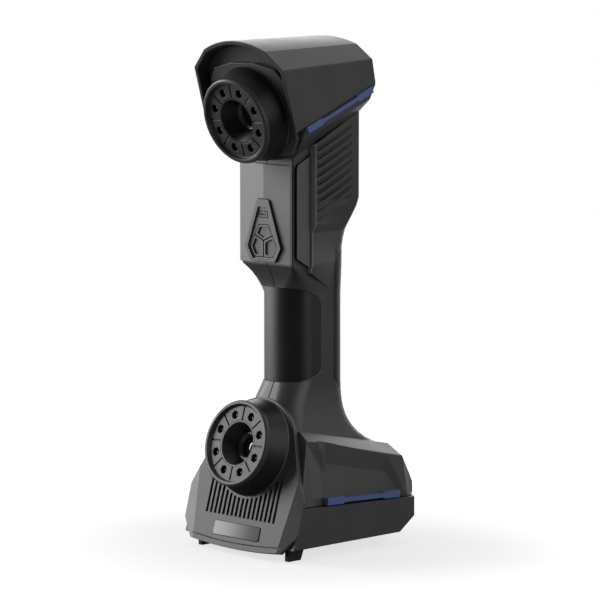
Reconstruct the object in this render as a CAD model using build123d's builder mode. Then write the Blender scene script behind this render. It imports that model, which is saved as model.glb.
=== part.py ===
from build123d import *
import os
from math import sin, cos, tan, sqrt, radians

# Hand-held scanner, standing on its base. Millimetres, +Z up, the cameras look towards -Y.
os.makedirs("parts", exist_ok=True)

# Camera pods: two pods lean towards each other, one at the head and one at the base
POD_TILT = 16.5
POD_FRONT = 51.0
LOWER_POD_Z = 63.6
POD_SPACING = 179.7

# Ring bezel and barrel, sizes from the optical axis outwards
BEZEL_R = 24.6
BEZEL_RIM = 3.2
BEZEL_SKIRT = 3.2
BEZEL_BEVEL = 0.8
BARREL_WALL = 2.2
BARREL_FLARE = 3.1
BARREL_FOOT = 1.2
BARREL_LEDGE = 2.9
SPIGOT_T = 1.2
SPIGOT_LENGTH = 3.8
SLIP = 0.1
LAMP_FACE_DEPTH = 2.0
LAMP_FACE_T = 1.6
LAMP_COUNT = 8
LAMP_CIRCLE_R = 17.0
LAMP_POCKET_R = 2.6
LAMP_R = 1.7
LAMP_BASE_T = 1.2
LAMP_BOARD_T = 1.6
DIVIDER_W = 0.8
DIVIDER_DEPTH = 0.6
DIVIDER_RIM_GAP = 0.4
APERTURE_R = 13.2
BAFFLE_WALL = 0.9
LENS_SETBACK = 11.0
LENS_CELL_R = 9.4
LENS_MOUTH_R = 6.8
LENS_R = 5.6
LENS_T = 2.6
LENS_DOME = 0.9
LENS_CELL_LENGTH = 21.0
LENS_STOP = 1.1
CAMERA_SIZE = 26.0
CAMERA_DEPTH = 18.0

# Front plates
PLATE_SETBACK = 15.5
PLATE_T = 3.0
BACK_PLATE_T = 2.5
PLATE_CORNER_R = 1.2
LOWER_PLATE_TOP = 29.0
LOWER_PLATE_EAR = 13.2
LOWER_PLATE_EAR_OUT = 2.4
LOWER_PLATE_WAIST_IN = 7.2
LOWER_PLATE_PROUD = 1.8
LOWER_PLATE_SIDE_TOP = -25.5
LOWER_PLATE_SIDE_BOTTOM = -44.8
LOWER_PLATE_TOE_IN = 9.4
LOWER_PLATE_TOE = -56.0
LOWER_PLATE_BOW = 2.1
FOLD_TOP_IN = 7.5
FOLD_TOE_IN = 12.0
FOLD_DROP = 2.0
TOE_LINE_RISE = 3.2
TOE_LINE_W = 0.5
TOE_LINE_DEPTH = 0.4
SLOT_COUNT = 17
SLOT_PITCH = 3.4
SLOT_W = 1.8
SLOT_BOTTOM = -40.0
SLOT_TOP = -15.5
SLOT_RIM_GAP = 1.6
BADGE_W = 37.0
BADGE_H = 8.0
BADGE_T = 1.0
BADGE_PROUD = 0.4
BADGE_V = -47.8
COLLAR_HALF = 30.0
COLLAR_TOP = 29.2
COLLAR_TOP_HALF = 9.0
COLLAR_SHOULDER = 18.2
COLLAR_CORNER_HALF = 24.0
COLLAR_CORNER = 25.8
COLLAR_SIDE_BOTTOM = -14.4
COLLAR_BOTTOM = -24.7
COLLAR_BOTTOM_HALF = 22.5

# Head: hood over a tray, parted along one slope; hood heights are above the upper pod
HEAD_SLOPE = 22.3
HOOD_EDGE_Y = -40.0
HOOD_EDGE_DROP = 6.1
HOOD_WALL = 2.4
HOOD_FRONT_Y = -48.3
HOOD_REAR_LEAN = 10.0
HEAD_CUT_FRONT = -70.0
HEAD_CUT_REAR = 40.0
CREST_RISE = 45.1
CREST_HALF = 24.6
CREST_CORNER_RISE = 39.7
SHOULDER_HALF = 35.8
SHOULDER_RISE = 29.5
SKIRT_HALF = 36.4
SKIRT_DROP = 18.3
REAR_CREST_RISE = 46.4
REAR_CORNER_RISE = 42.3
REAR_SHOULDER_RISE = 33.8
REAR_SKIRT_RISE = 6.7
CREST_INSET_SHARE = 0.4
SHOULDER_INSET_SHARE = 0.6
TRAY_HALF = 36.2
TRAY_BEND_HALF = 33.0
TRAY_BEND = 8.4
TRAY_FLOOR_HALF = 26.0
TRAY_TAPER = 0.07
TRAY_WALL = 3.2
TRAY_FLOOR_T = 2.4
TRAY_REAR_LEAN = 8.8
TRAY_PORT_HALF = 14.0
TRAY_PORT_FRONT = -17.0
TRAY_PORT_REAR = 16.0
TRAY_PORT_CUT = 5.0
BODY_TOP_SLOPE = 26.6
BODY_TOP_RISE = 4.7

# Body and handle
WALL = 2.6
REAR_Y = 22.0
HANDLE_HALF = 17.0
HANDLE_FRONT = -20.0
HANDLE_LOW = 96.0
HANDLE_HIGH = 145.0
HANDLE_FRONT_R = 14.0
HANDLE_REAR_R = 11.0
LEAST_CORNER_R = 0.6
BODY_HALF = 21.5
BODY_FRONT = -26.0
BODY_CORNER_R = 1.2
SHELF_Z = 162.0
SCOOP_ROWS = 6
SCOOP_POWER = 2.6
SCOOP_SPREAD = 0.85
BODY_FOOT_RISE = 8.0
BODY_REAR_R = 4.0
FLARE_ROWS = 12
FLARE_DROP = 42.0
FLARE_FRONT = 13.0
FLARE_FRONT_POWER = 1.2
FLARE_REAR = 11.0
FLARE_REAR_POWER = 1.7
FLARE_LEAN = 13.6
FLARE_TAIL = 20.0
FLARE_TAIL_SHARE = 0.95
FLARE_TAIL_POWER = 5.5
FLARE_FRONT_R = 9.0
FLARE_REAR_R = 9.0
FIN_ROOT_Z = 176.0
FIN_FULL_Z = 196.0

# Base
SEAM_Z = 29.0
SEAM_FALL = 2.2
SEAM_GAP = 0.4
BASE_HALF = 44.4
BASE_BOTTOM = 7.4
BASE_REAR = 54.86
BASE_ROOF_HALF = 30.2
BASE_CORNER_X = 8.0
BASE_CORNER_Y = 6.6
BASE_CHAMFER_Z = 8.2
BASE_CHAMFER_Y = 11.8
BASE_REACH = 60.0
SHOULDER_IN = 7.5
SHOULDER_Z = 66.5
SHOULDER_FALL = 0.22
ROOF_Z = 71.0
ROOF_FALL = 0.2
ROOF_TAPER = 0.03
ROOF_INSET_SHARE = 0.5
SINK_FRONT = -31.5
SINK_FRONT_RUN = 9.5
SINK_TOP_DROP = 0.6
SINK_TOP_RUN = 9.6
SINK_REAR = 30.0
SINK_REAR_RUN = 4.6
SINK_REAR_LEAN = 0.5
SINK_DEPTH = 2.0
SINK_LEAD = 0.5
SHOULDER_Y = -31.0
FRONT_RIM_T = 2.5
FRONT_RIM_IN = 1.2
TAIL_Y = 43.0
TAIL_LEAN = 0.2
TAIL_END_RISE = 5.0
TAIL_END_ROOF_RISE = 6.2
SEAM_OVERLAP = 3.0
FOOT_W = 3.0
FOOT_IN = 10.4
FOOT_FRONT = -45.0
FOOT_LENGTH = 12.6
FOOT_TAPER = 3.0
REAR_FOOT_W = 24.0
REAR_FOOT_D = 7.0
REAR_FOOT_Y = 34.0

# Front panel and keys
PANEL_HALF = 20.3
PANEL_EDGE_T = 1.6
PANEL_RIDGE = 1.1
PANEL_BOTTOM_RISE = 1.2
PANEL_TOP_GAP = 5.0
KEY_CENTRE_RISE = 13.8
KITE_TOP_RISE = 23.4
KITE_TOP_HALF = 4.9
KITE_WIDE_RISE = -3.8
KITE_HALF = 14.6
KITE_BOTTOM_RISE = -11.6
KITE_BOTTOM_HALF = 10.0
KITE_PROUD = 0.9
KITE_CORNER_R = 1.6
KITE_FIT = 0.15
KEY_WELL_TOP_RISE = 9.2
KEY_WELL_TOP_HALF = 3.9
KEY_WELL_HALF = 11.0
KEY_WELL_WIDE_RISE = -3.5
KEY_WELL_BOTTOM_RISE = -9.4
KEY_WELL_BOTTOM_HALF = 7.4
KEY_FORK_HALF = 7.3
KEY_FORK_RISE = 3.1
KEY_GAP = 0.3
KEY_SUNK = 1.0
RECESS_MARGIN = 0.8
RECESS_TOP_RISE = 19.0
RECESS_TOP_HALF = 3.4
KEY_T = 4.4
KEY_TRAVEL = 0.8
DISH_INSET = 1.2
DISH_DEPTH = 0.9
POWER_W = 7.0
POWER_H = 3.8
POWER_RISE = 14.8
PLUNGER_R = 1.2
PLUNGER_LAP = 0.01
SWITCH_SIZE = 4.6
SWITCH_H = 3.2
SWITCH_GAP = 0.1
SWITCH_SPREAD = 0.47
SWITCH_OVERLAP = 0.6
SWITCH_BUTTON_H = 1.0
KEY_BOARD_HALF = 13.0
KEY_BOARD_MARGIN = 2.4
KEY_BOARD_T = 1.6
POST_R = 1.8
POST_MARGIN = 0.4

# Side plates, fin panels, grips and clips
NAME_PLATE_T = 1.9
NAME_PLATE_PROUD = 0.5
NAME_PLATE_FRONT = -23.8
NAME_PLATE_GAP = 0.7
NAME_PLATE_TOP_GAP = 6.5
NAME_PLATE_FOOT_RISE = 4.8
NAME_PLATE_HEEL_DROP = 1.0
NAME_PLATE_CORNER_R = 3.0
NAME_GROOVE = 1.8
FIN_HALF = 26.0
FIN_FRONT = -13.0
FIN_RAMP_TOP = 199.0
FIN_PITCH = 4.85
FIN_ROWS = 9
FIN_FIRST_ROW = 0.55
FIN_GROOVE_W = 2.4
FIN_GROOVE_DEPTH = 2.6
FIN_BORDER = 6.5
FIN_SLOPE = 24.0
FIN_LEAD = 3.0
FIN_FRONT_WALL = 0.8
FIN_BEND_R = 6.0
FIN_RUN_OUT = 0.2
FIN_LIP = 0.3
CHEEK_HALF = 23.4
CHEEK_REAR_HALF = 15.2
CHEEK_LOW = 138.0
CHEEK_FULL = 163.0
CHEEK_SINK = 0.6
CHEEK_STEP_Z = 181.0
CHEEK_STEP = 2.6
CHEEK_FALL = 28.7
CHEEK_EDGE_Z = 150.9
FIN_FRONT_R = 11.0
FIN_REAR_R = 1.5
FIN_STEPS = 5
GRIP_T = 1.4
FRONT_GRIP_REAR = 0.0
FRONT_GRIP_SIDE_TOP = 139.7
FRONT_GRIP_SIDE_BOTTOM = 101.5
FRONT_GRIP_TOP = 150.0
FRONT_GRIP_BOTTOM = 94.5
FRONT_GRIP_CORNER_SHARE = 0.35
FRONT_GRIP_CORNER_RUN = 2.4
FRONT_GRIP_CORNER_DROP = 2.2
FRONT_GRIP_BEND_SHARE = 0.7
FRONT_GRIP_TOE_RISE = 1.5
FRONT_GRIP_BOW = 1.0
REAR_GRIP_FRONT = 10.3
REAR_GRIP_SIDE_TOP = 162.0
REAR_GRIP_SIDE_BOTTOM = 96.5
REAR_GRIP_TOP = 168.7
REAR_GRIP_BOTTOM = 89.6
REAR_GRIP_CORNER_RUN = 5.7
CLIP_EMBED = 1.6
LOWER_CLIP_EMBED = 2.6
LOWER_CLIP_FRONT = -22.7
LOWER_CLIP_REAR = 35.1
LOWER_CLIP_H = 4.0
LOWER_CLIP_PROUD = 1.4
UPPER_CLIP_FRONT = -30.8
UPPER_CLIP_REAR = 20.1
UPPER_CLIP_H = 3.6
UPPER_CLIP_SINK_SHARE = 0.4
UPPER_CLIP_OUT = 1.2
CLIP_BLOCK = 12.5
CLIP_WAIST = 0.8

# Inside
CHASSIS_FRONT = 3.0
CHASSIS_T = 5.0
CHASSIS_HALF = 9.0
CHASSIS_FOOT_Z = 40.0
BRACKET_T = 3.0
EAR_Z = 125.0
EAR_H = 10.0
EAR_SLIP = 0.1
BOARD_HALF = 12.6
BOARD_T = 1.6
BOARD_STANDOFF = 4.0
BOARD_BOTTOM = 97.0
BOARD_TOP = 222.0
BOARD_POST_INSET = 6.0
CHIP_T = 1.5
MAIN_CHIP_SIDE_SHARE = 1.3
MAIN_CHIP_RISE_SHARE = 0.76
SMALL_CHIP_W_SHARE = 0.7
SMALL_CHIP_H_SHARE = 0.6
SMALL_CHIP_RISE_SHARE = 0.4
PLUG_W_SHARE = 1.5
PLUG_H_SHARE = 0.5
FAN_SIZE = 30.0
FAN_T = 10.0
FAN_V = -31.0
FAN_BORE_R = 13.8
FAN_TIP_GAP = 0.6
FAN_HUB_R = 6.2
FAN_END_GAP = 1.0
FAN_BLADES = 7
BLADE_CHORD = 6.6
BLADE_T = 0.9
BLADE_ANGLE = 35.0
BLADE_ROOT = 0.8
SPIDER_T = 1.5
SPIDER_ARM = 2.2
SPIDER_GAP = 0.4
PIN_R = 1.0
PIN_RUNNING = 0.05
PIN_LENGTH = 5.0

# Cable socket and screws
SOCKET_Z = 20.9
SOCKET_FLANGE_R = 5.5
SOCKET_FLANGE_T = 2.9
SOCKET_BODY_R = 4.6
SOCKET_BODY_LENGTH = 11.0
SOCKET_BORE_R = 3.5
SOCKET_BORE_LENGTH = 10.0
SCREW_R = 1.2
SCREW_FIT = 0.1
SCREW_HEAD_R = 2.4
SCREW_HEAD_T = 1.8
HEX_R = 1.3
HEX_DEPTH = 1.0
SCREW_BITE = 8.0
BOSS_R = 3.4
BOSS_END_COVER = 1.6
SCREW_HEAD_COVER = 6.4
BASE_BOSS_IN = 9.4
BASE_BOSS_FRONT = -19.0
BASE_BOSS_REAR = 35.0
HEAD_SINK = 5.0
CASE_SCREW_Y = 14.4
CASE_SCREW_LOW = 112.0
CASE_SCREW_HIGH = 150.0
FAR = 200.0

BASE_BOSS_X = BASE_HALF - BASE_BOSS_IN
FOOT_X = BASE_HALF - FOOT_IN
tilt = radians(POD_TILT)
head_rise = tan(radians(HEAD_SLOPE))
body_rise = tan(radians(BODY_TOP_SLOPE))
seam_fall = radians(SEAM_FALL)
UPPER_POD_Z = LOWER_POD_Z + POD_SPACING


def pod_plane(z, lean):
    """Plane of a bezel front: x to the right, y up the plate, z out along the optical axis."""
    return Plane(origin=(0, -POD_FRONT, z), x_dir=(1, 0, 0), z_dir=(0, -cos(tilt), lean * sin(tilt)))


LOWER_POD = pod_plane(LOWER_POD_Z, 1)
UPPER_POD = pod_plane(UPPER_POD_Z, -1)
PODS = (("upper", UPPER_POD), ("lower", LOWER_POD))
LOWER_BACK = LOWER_POD.offset(-(PLATE_SETBACK + PLATE_T))
UPPER_BACK = UPPER_POD.offset(-(PLATE_SETBACK + PLATE_T + BACK_PLATE_T))


def save(piece, label):
    piece.part.label = label
    export_step(piece.part, os.path.join("parts", label + ".step"))


def hood_z(y):
    """Height of the sloping joint between hood and tray."""
    return UPPER_POD_Z - HOOD_EDGE_DROP + head_rise * (y - HOOD_EDGE_Y)


def body_top(y):
    """Height of the sloping top of the body, under the tray."""
    return UPPER_POD_Z + BODY_TOP_RISE + body_rise * (y - REAR_Y)


def sloping_plane(angle, height):
    slope = radians(angle)
    return Plane(origin=(0, 0, height), x_dir=(1, 0, 0), z_dir=(0, -sin(slope), cos(slope)))


HOOD_JOINT = sloping_plane(HEAD_SLOPE, hood_z(0))
BODY_TOP = sloping_plane(BODY_TOP_SLOPE, body_top(0))
SEAM = sloping_plane(-SEAM_FALL, SEAM_Z)


def face_plane(y):
    """Upright plane at depth y that looks towards the front; x to the right, y up."""
    return Plane.XZ.offset(-y)


def mirrored(points):
    """Closed outline from its right half, listed from the top down."""
    return points + [(-x, v) for x, v in reversed(points)]


def profile_plane(pod):
    return Plane(origin=pod.origin, x_dir=pod.x_dir, z_dir=-pod.y_dir)


def outline_face(points):
    return Polygon(*points, align=None)


# Camera pods, the same set of pieces twice
barrel_bore = BEZEL_R - BARREL_WALL
spigot_r = barrel_bore - SLIP
spigot_back = BEZEL_SKIRT + SPIGOT_LENGTH
barrel_inner = barrel_bore - BARREL_LEDGE
barrel_foot_r = BEZEL_R + BARREL_FLARE
lamp_face_r = BEZEL_R - BEZEL_RIM
lamp_face_back = LAMP_FACE_DEPTH + LAMP_FACE_T
lamp_board_front = spigot_back - LAMP_BOARD_T
lens_back = LENS_SETBACK + LENS_CELL_LENGTH
lens_seat = LENS_SETBACK + (LENS_MOUTH_R - LENS_R)
lens_seat_back = lens_seat + LENS_T + LENS_DOME
camera_back = lens_back + CAMERA_DEPTH

for pod_name, pod in PODS:
    optical_axis = Axis(pod.origin, pod.z_dir)

    with BuildPart() as barrel:
        with BuildSketch(profile_plane(pod)):
            outline_face([
                (barrel_bore, -BEZEL_SKIRT),
                (BEZEL_R - BEZEL_BEVEL, -BEZEL_SKIRT),
                (barrel_foot_r, -PLATE_SETBACK + BARREL_FOOT),
                (barrel_foot_r, -PLATE_SETBACK),
                (barrel_inner, -PLATE_SETBACK),
                (barrel_inner, -spigot_back),
                (barrel_bore, -spigot_back),
            ])
        revolve(axis=optical_axis)
    save(barrel, pod_name + "_barrel")

    with BuildPart() as bezel:
        with BuildSketch(profile_plane(pod)):
            outline_face([
                (lamp_face_r, -LAMP_FACE_DEPTH),
                (lamp_face_r + BEZEL_BEVEL, 0),
                (BEZEL_R - BEZEL_BEVEL, 0),
                (BEZEL_R, -BEZEL_BEVEL),
                (BEZEL_R, -BEZEL_SKIRT),
                (spigot_r, -BEZEL_SKIRT),
                (spigot_r, -spigot_back),
                (spigot_r - SPIGOT_T, -spigot_back),
                (spigot_r - SPIGOT_T, -lamp_face_back),
                (APERTURE_R, -lamp_face_back),
                (APERTURE_R, -LAMP_FACE_DEPTH),
            ])
        revolve(axis=optical_axis)
        with BuildSketch(pod.offset(-LAMP_FACE_DEPTH)):
            with PolarLocations(LAMP_CIRCLE_R, LAMP_COUNT, start_angle=180 / LAMP_COUNT):
                RegularPolygon(LAMP_POCKET_R, side_count=6)
        extrude(amount=-LAMP_FACE_T, mode=Mode.SUBTRACT)
        with BuildSketch(pod.offset(-LAMP_FACE_DEPTH)):
            with PolarLocations((lamp_face_r + APERTURE_R) / 2 - DIVIDER_RIM_GAP, LAMP_COUNT):
                Rectangle(lamp_face_r - APERTURE_R, DIVIDER_W)
        extrude(amount=-DIVIDER_DEPTH, mode=Mode.SUBTRACT)
    save(bezel, pod_name + "_bezel")

    with BuildPart() as lamp_board:
        with BuildSketch(pod.offset(-spigot_back)):
            Circle(spigot_r - SPIGOT_T - SLIP)
            Circle(APERTURE_R - BAFFLE_WALL, mode=Mode.SUBTRACT)
        extrude(amount=LAMP_BOARD_T)
    save(lamp_board, pod_name + "_lamp_board")

    with BuildPart() as lamps:
        with BuildSketch(pod.offset(-lamp_board_front)):
            with PolarLocations(LAMP_CIRCLE_R, LAMP_COUNT, start_angle=180 / LAMP_COUNT):
                Circle(LAMP_R)
        extrude(amount=LAMP_BASE_T)
        with Locations(pod.offset(LAMP_BASE_T - lamp_board_front)):
            with PolarLocations(LAMP_CIRCLE_R, LAMP_COUNT, start_angle=180 / LAMP_COUNT):
                Sphere(LAMP_R, arc_size1=0)
    save(lamps, pod_name + "_lamps")

    with BuildPart() as baffle:
        with BuildSketch(profile_plane(pod)):
            outline_face([
                (APERTURE_R - BAFFLE_WALL, -LAMP_FACE_DEPTH),
                (APERTURE_R - SLIP, -LAMP_FACE_DEPTH),
                (APERTURE_R - SLIP, -lamp_face_back),
                (LENS_CELL_R, -LENS_SETBACK),
                (LENS_CELL_R - BAFFLE_WALL, -LENS_SETBACK),
            ])
        revolve(axis=optical_axis)
    save(baffle, pod_name + "_baffle")

    with BuildPart() as lens_cell:
        with BuildSketch(profile_plane(pod)):
            outline_face([
                (LENS_MOUTH_R, -LENS_SETBACK),
                (LENS_CELL_R, -LENS_SETBACK),
                (LENS_CELL_R, -lens_back),
                (LENS_R - LENS_STOP, -lens_back),
                (LENS_R - LENS_STOP, -lens_seat_back),
                (LENS_R, -lens_seat_back),
                (LENS_R, -lens_seat),
            ])
        revolve(axis=optical_axis)
    save(lens_cell, pod_name + "_lens_barrel")

    with BuildPart() as lens:
        with BuildSketch(profile_plane(pod)):
            with BuildLine():
                rim = (LENS_R - SLIP, -lens_seat - LENS_DOME)
                crown = (0, -lens_seat)
                back = (0, -lens_seat_back)
                back_rim = (LENS_R - SLIP, -lens_seat_back)
                RadiusArc(crown, rim, (LENS_R ** 2 + LENS_DOME ** 2) / (2 * LENS_DOME))
                Polyline(rim, back_rim, back, crown)
            make_face()
        revolve(axis=optical_axis)
    save(lens, pod_name + "_lens")

    with BuildPart() as camera:
        with BuildSketch(pod.offset(-lens_back)):
            Rectangle(CAMERA_SIZE, CAMERA_SIZE)
        extrude(amount=-CAMERA_DEPTH)
        chamfer(camera.edges().filter_by(Axis(pod.origin, pod.z_dir)), BEZEL_BEVEL)
    save(camera, pod_name + "_camera")


def swell(share):
    """Smooth climb from 0 to 1, level at both ends."""
    return sin(radians(90 * share)) ** 2


# Body outline: sections up the flared foot, the handle, the scoop under the panel and the body
def spine_sections():
    """Levels from the bottom up: z, front and rear half widths, front and rear depths, corner radii."""
    rows = []
    for step in range(FLARE_ROWS):
        share = 1 - step / FLARE_ROWS
        tail = min(share / FLARE_TAIL_SHARE, 1) ** FLARE_TAIL_POWER
        rows.append((
            HANDLE_LOW - FLARE_DROP * share,
            HANDLE_HALF + FLARE_FRONT * swell(share ** FLARE_FRONT_POWER),
            HANDLE_HALF + FLARE_REAR * swell(share ** FLARE_REAR_POWER),
            HANDLE_FRONT - FLARE_LEAN * sin(radians(90 * share)),
            REAR_Y + FLARE_TAIL * tail,
            HANDLE_FRONT_R + (FLARE_FRONT_R - HANDLE_FRONT_R) * share,
            HANDLE_REAR_R + (FLARE_REAR_R - HANDLE_REAR_R) * share,
        ))
    grip = (HANDLE_HALF, HANDLE_HALF, HANDLE_FRONT, REAR_Y, HANDLE_FRONT_R, HANDLE_REAR_R)
    rows.append((HANDLE_LOW,) + grip)
    for step in range(SCOOP_ROWS + 1):
        share = step / SCOOP_ROWS
        rows.append((
            HANDLE_HIGH + (SHELF_Z - HANDLE_HIGH) * share,
            HANDLE_HALF + (BODY_HALF - HANDLE_HALF) * SCOOP_SPREAD * share,
            HANDLE_HALF,
            HANDLE_FRONT + (BODY_FRONT - HANDLE_FRONT) * share ** SCOOP_POWER,
            REAR_Y,
            HANDLE_FRONT_R + (BODY_CORNER_R - HANDLE_FRONT_R) * share,
            HANDLE_REAR_R,
        ))
    body = (BODY_FRONT, REAR_Y, BODY_CORNER_R)
    middle = (HANDLE_HALF + BODY_HALF) / 2
    middle_r = (HANDLE_REAR_R + BODY_REAR_R) / 2
    rows.append((SHELF_Z + BODY_FOOT_RISE, BODY_HALF, HANDLE_HALF) + body + (HANDLE_REAR_R,))
    rows.append((FIN_ROOT_Z, BODY_HALF, HANDLE_HALF) + body + (HANDLE_REAR_R,))
    rows.append((FIN_ROOT_Z / 2 + FIN_FULL_Z / 2, BODY_HALF, middle) + body + (middle_r,))
    rows.append((FIN_FULL_Z, BODY_HALF, BODY_HALF) + body + (BODY_REAR_R,))
    rows.append((UPPER_POD_Z + CREST_RISE, BODY_HALF, BODY_HALF) + body + (BODY_REAR_R,))
    return rows


def spine(inset, bottom_drop):
    """Solid of the handle and body, drawn in from its skin by the inset."""
    with BuildPart() as solid:
        for row, (z, front_half, rear_half, front, rear, front_r, rear_r) in enumerate(spine_sections()):
            level = z - bottom_drop if row == 0 else z
            with BuildSketch(Plane.XY.offset(level)) as section:
                outline_face([
                    (-front_half + inset, front + inset),
                    (front_half - inset, front + inset),
                    (rear_half - inset, rear - inset),
                    (-rear_half + inset, rear - inset),
                ])
                fillet(section.vertices().group_by(Axis.Y)[-1], max(rear_r - inset, LEAST_CORNER_R))
                fillet(section.vertices().group_by(Axis.Y)[0], max(front_r - inset, LEAST_CORNER_R))
        loft(ruled=True)
    return solid.part


base_foot_z = SEAM_Z - SEAM_OVERLAP
side_slope = SHOULDER_IN / (SHOULDER_Z - base_foot_z)
BASE_SIDE = Plane(origin=(BASE_HALF, 0, base_foot_z), x_dir=(0, 1, 0), z_dir=(1, 0, side_slope))


def base_sections(inset, side_inset):
    """Sections through the base shell, front to rear: depth, then its seam, shoulder and roof points."""
    rows = []
    for y in (-BASE_REACH, SHOULDER_Y, TAIL_Y):
        run = max(y - SHOULDER_Y, 0)
        shoulder_z = SHOULDER_Z - SHOULDER_FALL * run
        rows.append((y, BASE_HALF, BASE_HALF - side_slope * (shoulder_z - base_foot_z), shoulder_z,
                     BASE_ROOF_HALF - ROOF_TAPER * run, ROOF_Z - ROOF_FALL * run))
    rear_half = BASE_HALF - BASE_CORNER_X
    rear_roof = BASE_ROOF_HALF - ROOF_TAPER * (BASE_REAR - SHOULDER_Y)
    rows.append((BASE_REAR, rear_half, rear_half - TAIL_LEAN, SEAM_Z + TAIL_END_RISE,
                 rear_roof, SEAM_Z + TAIL_END_ROOF_RISE))
    shapes = []
    for y, seam, shoulder, shoulder_z, roof, roof_z in rows:
        depth = y - inset if y > 0 else y
        shapes.append((depth, [
            (seam - side_inset, base_foot_z),
            (shoulder - side_inset, shoulder_z - inset * SHOULDER_INSET_SHARE),
            (roof - inset * ROOF_INSET_SHARE, roof_z - inset),
        ]))
    return shapes


def base_shell(inset, side_inset):
    with BuildPart() as solid:
        for y, half in base_sections(inset, side_inset):
            with BuildSketch(face_plane(y)):
                outline_face(mirrored(half[::-1]))
        loft(ruled=True)
        split(bisect_by=SEAM, keep=Keep.TOP)
    return solid.part


def sink_outline(share):
    """Outline of the sunk side panel on the side plane, from its rim at 0 to its floor at 1.

    The top runs beside the shoulder and the rear leans, so both follow the same fall at every depth."""
    front = SINK_FRONT + SINK_FRONT_RUN * share
    crest = SHOULDER_Z - base_foot_z - SINK_TOP_DROP - SINK_TOP_RUN * share
    lean_top = SHOULDER_Z - base_foot_z - SHOULDER_FALL * (SINK_REAR - SHOULDER_Y)
    rear = SINK_REAR - SINK_REAR_RUN * share
    foot = -SEAM_OVERLAP
    meet = rear + SINK_REAR_LEAN * (lean_top - crest - SHOULDER_FALL * SHOULDER_Y)
    meet = meet / (1 - SINK_REAR_LEAN * SHOULDER_FALL)
    return [
        (front, foot),
        (front, crest - SHOULDER_FALL * (front - SHOULDER_Y)),
        (meet, crest - SHOULDER_FALL * (meet - SHOULDER_Y)),
        (rear + SINK_REAR_LEAN * (lean_top - foot), foot),
    ]


with BuildPart() as side_sink:
    for share in (-SINK_LEAD, 1):
        with BuildSketch(BASE_SIDE.offset(-SINK_DEPTH * share)):
            outline_face(sink_outline(share))
    loft(ruled=True)

spine_skin = spine(0, 0)
spine_core = spine(GRIP_T, 0)
spine_space = spine(WALL, 24)
base_skin = base_shell(0, 0)
base_space = base_shell(WALL, WALL + SINK_DEPTH)

# Room in the base, kept back from the front by a rim that the slotted plate closes
with BuildPart() as base_room:
    add(base_space)
    with BuildSketch(LOWER_BACK.offset(-FRONT_RIM_T)):
        with Locations((BASE_ROOF_HALF - FRONT_RIM_IN, 0)):
            Rectangle(FAR, 2 * FAR, align=(Align.MIN, Align.CENTER))
    extrude(amount=FAR, mode=Mode.SUBTRACT)

# Rubber grips, let into the skin of the handle
with BuildPart() as front_grip:
    with BuildSketch(Plane.YZ):
        corner_drop = (FRONT_GRIP_TOP - FRONT_GRIP_SIDE_TOP) * FRONT_GRIP_CORNER_SHARE
        grip_bend_y = FRONT_GRIP_BEND_SHARE * HANDLE_FRONT
        grip_corner_y = FRONT_GRIP_REAR - FRONT_GRIP_CORNER_RUN
        outline_face([
            (2 * HANDLE_FRONT, FRONT_GRIP_TOP + FRONT_GRIP_BOW),
            (grip_bend_y, FRONT_GRIP_TOP - corner_drop / 2),
            (grip_corner_y, FRONT_GRIP_SIDE_TOP + corner_drop),
            (FRONT_GRIP_REAR, FRONT_GRIP_SIDE_TOP),
            (FRONT_GRIP_REAR, FRONT_GRIP_SIDE_BOTTOM),
            (grip_corner_y, FRONT_GRIP_SIDE_BOTTOM - FRONT_GRIP_CORNER_DROP),
            (grip_bend_y, FRONT_GRIP_BOTTOM + FRONT_GRIP_TOE_RISE),
            (2 * HANDLE_FRONT, FRONT_GRIP_BOTTOM - FRONT_GRIP_BOW),
        ])
    extrude(amount=FAR, both=True)
    add(spine_skin, mode=Mode.INTERSECT)
    add(spine_core, mode=Mode.SUBTRACT)
save(front_grip, "front_grip")

with BuildPart() as rear_grip:
    with BuildSketch(Plane.YZ):
        outline_face([
            (REAR_GRIP_FRONT, REAR_GRIP_SIDE_BOTTOM),
            (REAR_GRIP_FRONT, REAR_GRIP_SIDE_TOP),
            (REAR_GRIP_FRONT + REAR_GRIP_CORNER_RUN, REAR_GRIP_TOP),
            (2 * REAR_Y, REAR_GRIP_TOP),
            (2 * REAR_Y, REAR_GRIP_BOTTOM),
            (REAR_GRIP_FRONT + REAR_GRIP_CORNER_RUN, REAR_GRIP_BOTTOM),
        ])
    extrude(amount=FAR, both=True)
    add(spine_skin, mode=Mode.INTERSECT)
    add(spine_core, mode=Mode.SUBTRACT)
save(rear_grip, "rear_grip")

# Bare name plate on each side of the body, in a recess that leaves a groove round it
name_rear = FIN_FRONT - NAME_PLATE_GAP
name_back = BODY_HALF + NAME_PLATE_PROUD - NAME_PLATE_T


def name_outline(margin):
    front = NAME_PLATE_FRONT - margin
    rear = name_rear + min(margin, NAME_PLATE_GAP)
    return [
        (front, body_top(front) - NAME_PLATE_TOP_GAP + margin),
        (front, SHELF_Z + NAME_PLATE_FOOT_RISE - margin / 2),
        (rear, SHELF_Z - NAME_PLATE_HEEL_DROP - margin / 2),
        (rear, body_top(rear) - NAME_PLATE_TOP_GAP + margin),
    ]


with BuildPart() as name_plate_right:
    with BuildSketch(Plane.YZ.offset(name_back)) as plate_sketch:
        outline_face(name_outline(0))
        plate_corner = plate_sketch.vertices().group_by(Axis.X)[0].sort_by(Axis.Y)[-1:]
        fillet(plate_corner, NAME_PLATE_CORNER_R)
    extrude(amount=NAME_PLATE_T)
save(name_plate_right, "name_plate_right")

with BuildPart() as name_recess:
    with BuildSketch(Plane.YZ.offset(name_back)) as recess_sketch:
        outline_face(name_outline(NAME_GROOVE))
        recess_corner = recess_sketch.vertices().group_by(Axis.X)[0].sort_by(Axis.Y)[-1:]
        fillet(recess_corner, NAME_PLATE_CORNER_R + NAME_GROOVE)
    extrude(amount=2 * NAME_PLATE_T)

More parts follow.
